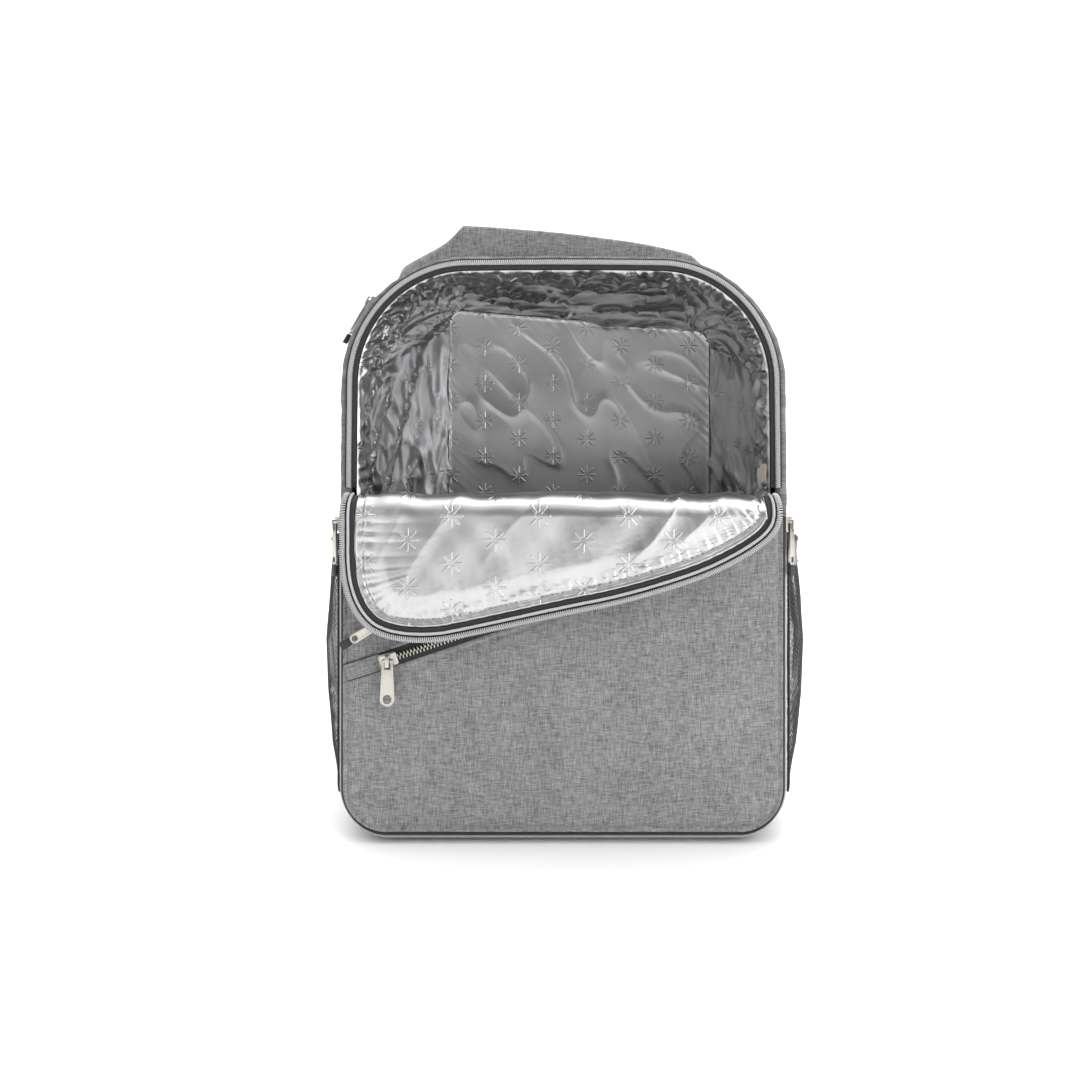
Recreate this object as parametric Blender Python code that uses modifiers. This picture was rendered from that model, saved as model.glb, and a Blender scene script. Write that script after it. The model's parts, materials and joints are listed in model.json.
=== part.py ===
"""Cooler backpack, its front flap unzipped and folded down, for Blender 4.5. Metres, +Z up.

The front faces -Y. The origin is the centre of the base, on the surface the bag stands on.
"""

import math

import bmesh
import bpy
from mathutils import Matrix, Vector

MM = 0.001
GAP = 0.3 * MM  # between two pieces that rest on each other

# Body: the seam line of the front and back panels, and the padded walls between them
BAND_SIDE = 8.5 * MM  # how far the side band stands out of the seam line, at its fullest
BAND_BASE = 9 * MM
BAND_TOP = 5 * MM
SEAM_HALF = 158.5 * MM
SEAM_LOW = BAND_BASE
SEAM_HIGH = 419.5 * MM
TOP_CROWN = 3 * MM
LOW_RADIUS = 32 * MM
TOP_RADIUS = 86 * MM
TOP_TAPER = 0.01
DEPTH = 170 * MM
WALL = 8 * MM
PANEL = 5.2 * MM
PANEL_CROWN = 1.6 * MM
SPLIT = 236 * MM  # height where the front panel ends and the flap begins
PIPING = 1.3 * MM
BAND_PUFF = (
    # share of the depth, shares of BAND_SIDE, BAND_BASE and BAND_TOP
    (0.00, 0.353, 0.389, 0.30),
    (0.02, 0.565, 0.778, 0.44),
    (0.06, 0.647, 1.000, 0.60),
    (0.25, 0.882, 1.000, 0.90),
    (0.50, 1.000, 1.000, 1.00),
    (0.75, 0.882, 1.000, 0.90),
    (0.94, 0.647, 1.000, 0.60),
    (0.98, 0.565, 0.778, 0.44),
    (1.00, 0.353, 0.389, 0.30),
)

# Foil lining, narrower at the back than at the rim
FOIL = 1 * MM
LINING_INSET = 8.3 * MM
LINING_BACK_HALF = 0.7445 * SEAM_HALF
LINING_BACK_SHIFT = 8.5 * MM
LINING_BACK_LOW = SEAM_LOW + LINING_INSET + 2 * MM
LINING_BACK_HIGH = SEAM_HIGH - 10.5 * MM
LINING_BACK_RADIUS = 16 * MM
LINING_BACK_FALL = 20 * MM  # how much lower its top is at the right
TAG = (1.2 * MM, 14 * MM, 18 * MM)
TAG_START = 3 * MM  # behind the rim
TAG_HEIGHT = SPLIT + 28 * MM

# Zip tapes and coils
TAPE = 0.7 * MM
COIL = 1.7 * MM
RIM_COIL_WIDTH = 3 * MM
RIM_TAPE_WIDTH = 7.8 * MM
RIM_END = SPLIT + 18 * MM

# Flap: a padded panel that rolls over at FOLD_TOP and hangs in front of the panel
FLAP_HALF = SEAM_HALF - 5 * MM
FLAP_SHIFT = -2 * MM
FLAP_WALL = 5 * MM
FOLD_TOP = SPLIT + 14 * MM
FLAP_DROP = 100.8 * MM
ROLL_HEIGHT = 12 * MM
ROLL_LEFT = 12 * MM
ROLL_RIGHT = 19 * MM
ROLL_RUN = 38 * MM  # length of cloth in the roll
ROLL_SHARES = (1.0, 0.84, 0.67, 0.5, 0.33, 0.16, 0.0)
FLAP_GAP = 0.5 * MM  # under what is sewn along the flap's curved rim
FLAP_RIM = (
    # share of the half width, share of the drop
    (-1.000, 0.440),
    (-0.989, 0.600),
    (-0.951, 0.770),
    (-0.882, 0.905),
    (-0.801, 0.968),
    (-0.688, 1.000),
    (-0.547, 0.996),
    (-0.443, 0.964),
    (-0.220, 0.888),
    (0.027, 0.800),
    (0.294, 0.716),
    (0.581, 0.580),
    (0.719, 0.495),
    (0.861, 0.378),
    (0.955, 0.270),
    (1.000, 0.153),
)
FLAP_COIL_WIDTH = 4.4 * MM
FLAP_TAPE_WIDTH = 10.4 * MM
FLAP_PIPING = 1.1 * MM
FLAP_PIPING_INSET = 6.3 * MM

# Front pocket: a thin skin over the padded front panel, closed by a slanted zip
SKIN = 1.3 * MM
POCKET_PUFF = 3 * MM
ZIP_TAPE_WIDTH = 12 * MM
TEETH_WIDTH = 5.5 * MM
ZIP_SLOPE = 18.6  # degrees
POCKET_ZIP = {
    # left end as shares of SEAM_HALF and SPLIT, then the length and
    # how far along it the slider sits, as shares of SEAM_HALF
    "pocket": (-0.8265, 0.5589, 1.123, 0.0475),
    "upper": (-0.8265, 0.6843, 0.757, 0.0379),
}

# Side pockets of net with a gathered band along the top
NET = 1.5 * MM
NET_HALF_DEPTH = 73 * MM
NET_LOW = SEAM_LOW + 25 * MM
NET_HIGH = SPLIT - 20 * MM
NET_BAND = 19 * MM
NET_FULL = 16.5 * MM  # how far the net stands off the side at its fullest
NET_PUFF = (
    # share of the height, share of NET_FULL
    (0.00, 0.036),
    (0.06, 0.303),
    (0.18, 0.636),
    (0.40, 0.909),
    (0.65, 1.000),
    (0.85, 0.848),
    (1.00, 0.667),
)

# Top handle, a folded band with wide feet on the top of the side band
HANDLE_Y = 25 * MM
HANDLE_WIDTH = 30 * MM
HANDLE_RISE = 51.5 * MM  # of its highest corner above the seam
GRIP_RISE = 14.5 * MM  # of its lower edge above the side band
FOOT_LIFT = 0.5 * MM
FOOT_PARTS = 4
HANDLE = (
    # along X as a share of SEAM_HALF, lower edge as a share of GRIP_RISE,
    # upper edge as a share of the way from the shoulders to the highest corner, share of the width
    (-0.953, 0.00, 0.4182, 1.00),
    (-0.921, 0.00, 0.5855, 1.00),
    (-0.864, 0.00, 0.7433, 0.93),
    (-0.751, 0.00, 0.8182, 0.77),
    (-0.681, 0.20, 0.8618, 0.57),
    (-0.618, 0.60, 0.9164, 0.40),
    (-0.555, 0.95, 1.0000, 0.30),
    (-0.379, 1.00, 0.9891, 0.27),
    (0.000, 0.98, 0.9527, 0.27),
    (0.379, 0.85, 0.8945, 0.27),
    (0.555, 0.80, 0.8509, 0.30),
    (0.650, 0.50, 0.8225, 0.43),
    (0.694, 0.20, 0.7745, 0.63),
    (0.738, 0.00, 0.7127, 0.80),
    (0.789, 0.00, 0.6000, 0.93),
    (0.820, 0.00, 0.5236, 0.93),
)

# Shoulder straps on the back: a padded strap, a webbing below it and a buckle between
STRAP_X = 0.39 * SEAM_HALF
STRAP_WIDTH = 58 * MM
STRAP_PAD = 9 * MM
STRAP_BOW = 31 * MM
STRAP_SPREAD = 30 * MM
STRAP_RUN = (
    # shares of SEAM_HIGH, STRAP_BOW off the back panel, STRAP_SPREAD outwards, and the width
    (0.958, 0.135, -0.467, 0.86),
    (0.915, 0.387, -0.400, 0.92),
    (0.839, 0.774, -0.200, 1.00),
    (0.739, 1.000, 0.100, 1.02),
    (0.625, 1.000, 0.433, 0.98),
    (0.510, 0.774, 0.733, 0.90),
    (0.420, 0.516, 0.933, 0.78),
    (0.381, 0.403, 1.000, 0.66),
)
WEBBING_WIDTH = 25 * MM
WEBBING = 1.6 * MM
WEBBING_FOOT = (SEAM_HALF - 36.5 * MM, SEAM_LOW + 21 * MM)
WEBBING_KNEE = (3 * MM, 16 * MM)  # where it bends, from its foot
BUCKLE = (34 * MM, 20 * MM, 4.4 * MM)

# Zip sliders and pulls; each pull swings on its slider's bridge
SLIDER = (8.4 * MM, 11 * MM, 3 * MM)
BRIDGE_HALF = 1.2 * MM
BRIDGE_REACH = 3.4 * MM
BRIDGE_LEG = 1.2 * MM
BRIDGE_TOP = 6.3 * MM
BRIDGE_WALL = 1.0 * MM
PIVOT_HEIGHT = 4.15 * MM
PULL_LENGTH = 29 * MM
POCKET_PULL_LENGTH = 32 * MM
POCKET_ZIP_SCALE = 1.2  # of the pocket's slider and its bridge, larger than the others
POCKET_PULL_WIDER = 1.45  # than the other pulls
PULL_WALL = 1.5 * MM
PULL_TOP_HALF = 2.7 * MM
PULL_LOW_HALF = 3.6 * MM
PULL_BAR = 0.7 * MM
PULL_HOLE = 2.2 * MM
PULL_SLOT_HALF = 1.65 * MM
PULL_SLOT = 4.8 * MM
TIP_LENGTH = 8 * MM
REAR_ZIP_Y = 35 * MM - DEPTH / 2
REAR_ZIP_WIDTH = 9 * MM
REAR_COIL_WIDTH = 4 * MM
REAR_LIFT = 0.6 * MM
REAR_SLIDER_LIFT = 1.7 * MM
REAR_PULL_TURN = 50  # from straight up to the rear pull's place on the shoulder
REAR_PULL_LEAN = 60  # from level to the way it hangs
UPPER_PULL_SLOPE = 31
RIM_PULL_TURN = math.radians(49)
RIM_PULL_HEIGHT = SPLIT - 6 * MM

FRONT = -DEPTH / 2
PANEL_BACK = FRONT + PANEL
BAND_FRONT = PANEL_BACK + GAP
BAND_DEPTH = -2 * BAND_FRONT
FLAP_FACE = BAND_FRONT - 0.4 * MM
ROLL_AXIS = FOLD_TOP - ROLL_HEIGHT

SIDE_HEIGHTS = (0.27, 0.66, 1.0)
SPLIT_INDEX = 11
LOOP = 46


def material(name, colour, roughness, metallic=0.0):
    """A Principled material from an 8-bit grey or colour."""
    made = bpy.data.materials.new(name)
    made.use_nodes = True
    shader = made.node_tree.nodes["Principled BSDF"]
    shader.inputs["Base Color"].default_value = [(c / 255) ** 2.2 for c in colour] + [1]
    shader.inputs["Roughness"].default_value = roughness
    shader.inputs["Metallic"].default_value = metallic
    return made


def add_object(name, mesh, mat):
    made = bpy.data.objects.new(name, mesh)
    made.data.materials.append(mat)
    bpy.context.scene.collection.objects.link(made)
    return made


def finish_mesh(name, bm, mat):
    """The bmesh as a smooth-shaded object with sharp seams kept."""
    mesh = bpy.data.meshes.new(name)
    bm.to_mesh(mesh)
    bm.free()
    mesh.shade_smooth()
    mesh.set_sharp_from_angle(angle=math.radians(40))
    return add_object(name, mesh, mat)


def reshaped_grid(columns, rows, place):
    """A grid whose point at column i, row j goes to place(i, j)."""
    bm = bmesh.new()
    bmesh.ops.create_grid(bm, x_segments=columns, y_segments=rows, size=1.0)
    for vert in bm.verts:
        i = round((vert.co.x + 1) / 2 * columns)
        j = round((vert.co.y + 1) / 2 * rows)
        vert.co = place(i, j)
    bmesh.ops.remove_doubles(bm, verts=bm.verts, dist=0.01 * MM)
    return bm


def loft(name, sections, mat):
    """A closed body through closed sections, its ends filled unless they meet in a point."""
    count = len(sections[0])
    bm = reshaped_grid(count, len(sections) - 1, lambda i, j: sections[j][i % count])
    rim = [edge for edge in bm.edges if edge.is_boundary]
    if rim:
        bmesh.ops.holes_fill(bm, edges=rim, sides=0)
    bmesh.ops.recalc_face_normals(bm, faces=bm.faces)
    return finish_mesh(name, bm, mat)


def sheet(name, columns, rows, place, thickness, mat, inwards=False):
    """An open sheet given a thickness on one side of the surface."""
    bm = reshaped_grid(columns, rows, place)
    if inwards:
        bmesh.ops.reverse_faces(bm, faces=bm.faces)
    made = finish_mesh(name, bm, mat)
    solidify = made.modifiers.new("thickness", "SOLIDIFY")
    solidify.thickness = thickness
    solidify.offset = -1
    return made


def tube(name, points, radius, mat, cyclic=False):
    curve = bpy.data.curves.new(name, "CURVE")
    curve.dimensions = "3D"
    curve.bevel_depth = radius
    curve.bevel_resolution = 0
    curve.use_fill_caps = True
    spline = curve.splines.new("POLY")
    spline.points.add(len(points) - 1)
    for at, point in zip(spline.points, points):
        at.co = (*point, 1)
    spline.use_cyclic_u = cyclic
    return add_object(name, curve, mat)


def eased(x):
    x = min(max(x, 0.0), 1.0)
    return x * x * (3 - 2 * x)


def read_table(rows, at, column):
    """Linear reading of a table whose first column rises."""
    for low, high in zip(rows, rows[1:]):
        if at <= high[0]:
            share = (at - low[0]) / (high[0] - low[0])
            return low[column] + (high[column] - low[column]) * max(share, 0.0)
    return rows[-1][column]


def outline(half, low, high, low_radius, top_radius, crown=0.0, taper=0.0):
    """A closed loop of (x, z), from the base's middle round the right side and over the top."""
    points = [(0.0, low), ((half - low_radius) / 2, low)]
    for step in range(7):
        turn = math.radians(-90 + 15 * step)
        points.append(
            (
                half - low_radius + low_radius * math.cos(turn),
                low + low_radius + low_radius * math.sin(turn),
            )
        )
    start = low + low_radius
    points += [(half, start + (SPLIT - start) * share) for share in SIDE_HEIGHTS]
    points.append((half, (SPLIT + high - top_radius) / 2))
    for step in range(9):
        turn = math.radians(90 / 8 * step)
        points.append(
            (
                half - top_radius + top_radius * math.cos(turn),
                high - top_radius + top_radius * math.sin(turn),
            )
        )
    points += [((half - top_radius) / 2, high), (0.0, high)]
    shaped = []
    for x, z in points:
        rise = max(z - (high - top_radius), 0.0) / top_radius
        width = 1 - taper * eased((z - SPLIT) / (high - SPLIT))
        shaped.append((x * width, z + crown * rise * (1 - (x / half) ** 2)))
    return shaped + [(-x, z) for x, z in shaped[-2:0:-1]]


def body_outline(side, base=None, top=None):
    """The seam line moved outwards by side, and by base and top at its low and high ends."""
    base = side if base is None else base
    top = side if top is None else top
    return outline(
        SEAM_HALF + side,
        SEAM_LOW - base,
        SEAM_HIGH + top,
        LOW_RADIUS + min(side, base),
        TOP_RADIUS + min(side, top),
        TOP_CROWN,
        TOP_TAPER,
    )


def lower_part(loop, end):
    """The loop's points from the left side down round the base to the right, up to height end."""
    points = loop[LOOP - SPLIT_INDEX :] + loop[: SPLIT_INDEX + 1]
    return [(points[0][0], end)] + points[1:-1] + [(points[-1][0], end)]


def upper_part(loop, end):
    """The loop's points from the right side over the top to the left, down to height end."""
    points = loop[SPLIT_INDEX : LOOP - SPLIT_INDEX + 1]
    if end > points[1][1]:
        points = points[1:-1]
    return [(points[0][0], end)] + points[1:-1] + [(points[-1][0], end)]


def panel_loop(side):
    """The lower panel's outline: the base and sides, closed by a straight line at SPLIT."""
    points = lower_part(body_outline(side), SPLIT)
    (left, _), (right, _) = points[0], points[-1]
    return points + [(right + (left - right) * share, SPLIT) for share in (0.25, 0.5, 0.75)]


def plate(name, loop, front, back, mat):
    """A padded plate over the loop: front and back give Y at shares of the way out to the rim."""
    middle_x = sum(x for x, _ in loop) / len(loop)
    middle_z = (min(z for _, z in loop) + max(z for _, z in loop)) / 2
    sections = []
    for share, y in front + back:
        section = []
        for x, z in loop:
            at_x = middle_x + (x - middle_x) * share
            section.append(Vector((at_x, y, middle_z + (z - middle_z) * share)))
        sections.append(section)
    return loft(name, sections, mat)


def gusset(name, part, end, mat):
    """A padded band between the panels, its outer face puffed and its inner face a wall inside it."""
    rows = [(share, 0.0) for share, *_ in BAND_PUFF]
    rows += [(share, WALL) for share in (1.0, 0.5, 0.0)]
    loops = []
    for share, wall in rows:
        loop = body_outline(*[puff - wall for puff in read_puff(share)])
        y = BAND_FRONT + share * BAND_DEPTH
        loops.append([Vector((x, y, z)) for x, z in part(loop, end)])
    return loft(name, [list(section) for section in zip(*loops)], mat)


def read_puff(share):
    """How far the side band stands out at its sides, base and top, at a share of its depth."""
    full = (BAND_SIDE, BAND_BASE, BAND_TOP)
    return [size * read_table(BAND_PUFF, share, column) for column, size in enumerate(full, 1)]


def strip(name, frames, width, low, high, mat, inset=0.0):
    """A flat strip along frames of (point, inwards, outwards), between two lifts off the surface."""
    sections = [
        [
            point + inwards * across + outwards * lift
            for across, lift in (
                (inset, low),
                (inset + width, low),
                (inset + width, high),
                (inset, high),
            )
        ]
        for point, inwards, outwards in frames
    ]
    return loft(name, sections, mat)


def rim_frames(inset):
    """The body's opening from the right end of its zip over the top to the left end."""
    outer = upper_part(body_outline(-inset), RIM_END)
    inner = upper_part(body_outline(-inset - MM), RIM_END)
    frames = []
    for (x, z), (inner_x, inner_z) in zip(outer, inner):
        inwards = Vector((inner_x - x, 0, inner_z - z)).normalized()
        frames.append((Vector((x, BAND_FRONT, z)), inwards, Vector((0, -1, 0))))
    return frames


def roll_radius(x):
    share = (x - FLAP_SHIFT + FLAP_HALF) / (2 * FLAP_HALF)
    return ROLL_LEFT + (ROLL_RIGHT - ROLL_LEFT) * eased(share)


def flap_point(x, run):
    """A point of the flap's foil face. Run is 0 where the roll ends in front, and grows downwards."""
    radius = roll_radius(x)
    if run > 0:
        return Vector((x, FLAP_FACE - 2 * radius, ROLL_AXIS - run))
    turn = math.pi * min(1, max(0, -run / ROLL_RUN))
    z = ROLL_AXIS + ROLL_HEIGHT * math.sin(turn) + min(0, run + ROLL_RUN)
    return Vector((x, FLAP_FACE - radius - radius * math.cos(turn), z))


def flap_normal(x, run):
    """Away from the padding, on the foil side."""
    step = 0.2 * MM
    along = flap_point(x, run + step) - flap_point(x, run - step)
    across = flap_point(x + step, run) - flap_point(x - step, run)
    return along.cross(across).normalized()


def flap_rim(inset):
    """(x, run) along the flap's rim, moved inwards, from the roll's left end to its right end."""
    left = FLAP_SHIFT - FLAP_HALF
    right = FLAP_SHIFT + FLAP_HALF
    side_runs = [-ROLL_RUN * share for share in ROLL_SHARES[3:]]
    drops = [(FLAP_SHIFT + FLAP_HALF * x, FLAP_DROP * drop - ROLL_HEIGHT) for x, drop in FLAP_RIM]
    points = [(left, run) for run in side_runs]
    points += [(left, drops[0][1] / 2)]
    points += drops
    points += [(right, run) for run in reversed(side_runs)]
    moved = []
    for index, (x, run) in enumerate(points):
        before = points[max(index - 1, 0)]
        after = points[min(index + 1, len(points) - 1)]
        along_x, along_run = after[0] - before[0], after[1] - before[1]
        length = math.hypot(along_x, along_run)
        moved.append((x + along_run / length * inset, run - along_x / length * inset))
    return moved


def flap_frames():
    frames = []
    for (x, run), (inner_x, inner_run) in zip(flap_rim(0.0), flap_rim(MM)):
        point = flap_point(x, run)
        normal = flap_normal(x, run)
        inwards = flap_point(inner_x, inner_run) - point
        inwards -= normal * inwards.dot(normal)
        frames.append((point, inwards.normalized(), normal))
    return frames


def flap_grid(inset, lift):
    """Place function and column and row counts of a sheet that covers the flap up to an inset rim."""
    rim = [point for point in flap_rim(inset) if point[1] > 0]
    columns = rim[:1] + [at for at, last in zip(rim[1:], rim) if at[0] - last[0] > 0.05 * MM]
    rows = [-ROLL_RUN - (ROLL_AXIS - SPLIT - GAP)] + [-ROLL_RUN * share for share in ROLL_SHARES]
    hang = (0.3, 0.62, 0.88, 1.0)

    def place(i, j):
        x, tip = columns[i]
        run = rows[j] if j < len(rows) else tip * hang[j - len(rows)]
        return flap_point(x, run) + flap_normal(x, run) * lift

    return len(columns) - 1, len(rows) + len(hang) - 1, place


def pocket_y(x, z):
    """The outer face of the front pocket's skin."""
    across = 1 - min(1.0, abs(x) / SEAM_HALF) ** 4
    middle = (SEAM_LOW + SPLIT) / 2
    up = 1 - min(1.0, abs(z - middle) / (SPLIT - middle)) ** 4
    return FRONT - SKIN - GAP - POCKET_PUFF * across * up


def zip_frames(start, length):
    """Frames along a slanted zip on the pocket's skin, its inwards side pointing up."""
    turn = math.radians(ZIP_SLOPE)
    along = Vector((math.cos(turn), 0, math.sin(turn)))
    up = Vector((-math.sin(turn), 0, math.cos(turn)))
    frames = []
    for step in range(9):
        x = start[0] + along.x * length * step / 8
        z = start[1] + along.z * length * step / 8
        frames.append((Vector((x, pocket_y(x, z), z)), up, Vector((0, -1, 0))))
    return frames


def box_body(name, low, high, mat, bevel=0.0):
    bm = bmesh.new()
    bmesh.ops.create_cube(bm, size=1.0)
    size = Vector(high) - Vector(low)
    middle = (Vector(high) + Vector(low)) / 2
    for vert in bm.verts:
        vert.co = Vector([c * s for c, s in zip(vert.co, size)]) + middle
    if bevel:
        bmesh.ops.bevel(
            bm,
            geom=bm.edges[:],
            offset=bevel,
            segments=1,
            profile=0.5,
            affect="EDGES",
            material=-1,
        )
    return finish_mesh(name, bm, mat)


def join_bodies(target, others):
    """Fuses other bodies into the target and removes them."""
    for other in others:
        fuse = target.modifiers.new("fuse", "BOOLEAN")
        fuse.operation = "UNION"
        fuse.object = other
    graph = bpy.context.evaluated_depsgraph_get()
    graph.update()
    mesh = bpy.data.meshes.new_from_object(target.evaluated_get(graph))
    target.modifiers.clear()
    target.data = mesh
    for other in others:
        bpy.data.objects.remove(other)
    return target


def slider(name, place, mat, turn, scale):
    """A zip slider: a bevelled body with a bridge over the pull's bar.

    Local Y runs down the pull, and turn is the angle from there to the slider's own length.
    """
    wide, long, tall = SLIDER
    body = box_body(name, (-wide / 2, -long / 2, 0), (wide / 2, long / 2, tall), mat, 0.9 * MM)
    body.data.transform(Matrix.Rotation(turn, 4, "Z"))
    legs = []
    for side, sign in (("low", -1), ("high", 1)):
        ends = (sign * BRIDGE_REACH, sign * (BRIDGE_REACH - BRIDGE_LEG))
        low, high = min(ends), max(ends)
        legs.append(
            box_body(
                f"{name}_{side}_leg",
                (-BRIDGE_HALF, low, tall / 2),
                (BRIDGE_HALF, high, BRIDGE_TOP - BRIDGE_WALL / 2),
                mat,
            )
        )
    top = box_body(
        f"{name}_bridge",
        (-BRIDGE_HALF, -BRIDGE_REACH, BRIDGE_TOP - BRIDGE_WALL),
        (BRIDGE_HALF, BRIDGE_REACH, BRIDGE_TOP),
        mat,
    )
    join_bodies(body, legs + [top])
    body.data.transform(Matrix.Scale(scale, 4))
    body.matrix_world = place
    return body


def pull_outline(length, wider, scale):
    """The pull's rim, its slot and its hole, as three closed lists of (x, y)."""
    low = PULL_LOW_HALF * wider
    top = PULL_TOP_HALF * wider
    bar = PULL_BAR * scale
    slot = PULL_SLOT * scale
    slot_half = PULL_SLOT_HALF * wider
    hole = PULL_HOLE * wider
    centre = length - low
    shoulder = top + (low - top) * slot / centre
    turns = [math.pi * step / 8 for step in range(9)]
    rim = [(top, -bar), (shoulder, slot)]
    rim += [(low * math.cos(turn), centre + low * math.sin(turn)) for turn in turns]
    rim += [(-shoulder, slot), (-top, -bar)]
    window = [(slot_half, bar), (slot_half, slot), (-slot_half, slot), (-slot_half, bar)]
    turns = [2 * math.pi * step / 10 for step in range(10)]
    ring = [(hole * math.cos(turn), centre + hole * math.sin(turn)) for turn in turns]
    return rim, window, ring


def pull(name, place, mat, length, wider, scale):
    """A flat tapered pull that hangs by the bar above its slot. Its origin is the hinge."""
    curve = bpy.data.curves.new(name, "CURVE")
    curve.dimensions = "2D"
    curve.fill_mode = "BOTH"
    curve.extrude = PULL_WALL / 2
    for points in pull_outline(length, wider, scale):
        spline = curve.splines.new("POLY")
        spline.points.add(len(points) - 1)
        for at, (x, y) in zip(spline.points, points):
            at.co = (x, y, 0, 1)
        spline.use_cyclic_u = True
    made = add_object(name, curve, mat)
    made.matrix_world = place @ Matrix.Translation((0, 0, PIVOT_HEIGHT * scale))
    return made


def pull_tip(name, place, mat):
    """A moulded sleeve past the end of a pull, held in the pull's own plane."""
    start = PULL_LENGTH + GAP
    half = PULL_LOW_HALF * 0.86
    thick = PULL_WALL * 0.95
    made = box_body(name, (-half, start, -thick), (half, start + TIP_LENGTH, thick), mat, 0.8 * MM)
    made.matrix_world = place @ Matrix.Translation((0, 0, PIVOT_HEIGHT))
    return made


def fabric_place(point, down, outwards):
    """Local axes on cloth: Z away from it, Y down the pull, X along the hinge."""
    across = down.cross(outwards).normalized()
    turned = Matrix((across, down.normalized(), outwards.normalized())).transposed()
    return Matrix.Translation(point) @ turned.to_4x4()


def band_top(x, y):
    """Height of the side band's outer face over (x, y)."""
    share = (y - BAND_FRONT) / BAND_DEPTH
    loop = body_outline(*read_puff(share))
    over = sorted(loop[SPLIT_INDEX : LOOP - SPLIT_INDEX + 1])
    for (low_x, low_z), (high_x, high_z) in zip(over, over[1:]):
        if low_x <= x <= high_x and high_x - low_x > 1e-9:
            return low_z + (high_z - low_z) * (x - low_x) / (high_x - low_x)
    return SPLIT


def band_side(z, y):
    """Half width of the side band's outer face at height z."""
    share = (y - BAND_FRONT) / BAND_DEPTH
    loop = body_outline(*read_puff(share))
    for (low_x, low_z), (high_x, high_z) in zip(loop, loop[1:24]):
        if low_z <= z <= high_z and high_z - low_z > 1e-9:
            return low_x + (high_x - low_x) * (z - low_z) / (high_z - low_z)
    return SEAM_HALF


def build_body(mats):
    gusset("gusset_lower", lower_part, SPLIT - GAP / 2, mats["fabric"])
    gusset("gusset_upper", upper_part, SPLIT + GAP / 2, mats["fabric"])
    edge = PANEL_BACK - PANEL + PANEL_CROWN
    crowned = [(0.0, FRONT), (0.6, FRONT), (0.9, (FRONT + edge) / 2), (1.0, edge)]
    plain = [(1.0, PANEL_BACK), (0.5, PANEL_BACK), (0.0, PANEL_BACK)]
    plate("front_panel", panel_loop(0.0), crowned, plain, mats["fabric"])
    mirrored = [(share, -y) for share, y in crowned], [(share, -y) for share, y in plain]
    plate("back_panel", body_outline(0.0), *mirrored, mats["fabric"])


def build_piping(mats):
    away = PIPING + GAP
    y = BAND_FRONT - away
    loop = body_outline(away)
    front = [Vector((x, y, z)) for x, z in lower_part(loop, SPLIT)]
    tube("piping_front", front, PIPING, mats["trim"])
    back = [Vector((x, -y, z)) for x, z in loop]
    tube("piping_back", back, PIPING, mats["trim"], cyclic=True)


def lining_loop(share, inset=0.0):
    """The lining's section at a share of its depth, from the rim's arch to the narrower back."""
    wide = body_outline(-LINING_INSET - inset)
    narrow = outline(
        LINING_BACK_HALF - inset,
        LINING_BACK_LOW + inset,
        LINING_BACK_HIGH - inset,
        LOW_RADIUS - LINING_INSET - inset,
        LINING_BACK_RADIUS - inset,
    )
    section = []
    for (a, b), (c, d) in zip(wide, narrow):
        rise = eased((d - SPLIT) / (LINING_BACK_HIGH - SPLIT))
        d -= LINING_BACK_FALL * rise * (c + LINING_BACK_HALF) / (2 * LINING_BACK_HALF)
        section.append((a + (c + LINING_BACK_SHIFT - a) * share, b + (d - b) * share))
    return section


def lining_side(share, height):
    """Half width of the lining's outer face on the right, at a share of its depth and a height."""
    loop = lining_loop(share)
    for (low_x, low_z), (high_x, high_z) in zip(loop, loop[1:24]):
        if low_z < height <= high_z:
            return low_x + (high_x - low_x) * (height - low_z) / (high_z - low_z)
    return SEAM_HALF - LINING_INSET


def build_lining(mats):
    start = BAND_FRONT
    end = -PANEL_BACK - GAP - FOIL
    shares = (0.0, 0.12, 0.4, 0.7, 1.0)
    loops = [lining_loop(share) for share in shares]

    def wall(i, j):
        x, z = loops[j][i % LOOP]
        return Vector((x, start + (end - GAP - start) * shares[j], z))

    sheet("lining_wall", LOOP, len(shares) - 1, wall, FOIL, mats["foil"], inwards=True)
    plate(
        "lining_back",
        lining_loop(1.0),
        [(0.0, end), (0.6, end), (1.0, end)],
        [(1.0, end + FOIL), (0.0, end + FOIL)],
        mats["foil"],
    )
    points = lower_part(body_outline(-LINING_INSET - FOIL - 2 * GAP), SPLIT - GAP)
    near = start + GAP
    plate(
        "lining_front",
        points,
        [(0.0, near), (0.6, near), (1.0, near)],
        [(1.0, near + FOIL), (0.0, near + FOIL)],
        mats["foil"],
    )
    wide, deep, tall = TAG

    def label(i, j):
        y = start + TAG_START + deep * i
        z = TAG_HEIGHT + tall * (j - 0.5)
        side = lining_side((y - start) / (end - GAP - start), z)
        return Vector((side - FOIL - 2 * GAP, y, z))

    sheet("lining_tag", 1, 1, label, wide, mats["label"])


def build_rim(mats):
    frames = rim_frames(0.0)
    strip("rim_zip_tape", frames, RIM_TAPE_WIDTH, GAP, GAP + TAPE, mats["tape"])
    low = 2 * GAP + TAPE
    strip("rim_zip_coil", frames, RIM_COIL_WIDTH, low, low + COIL, mats["coil"])


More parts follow.
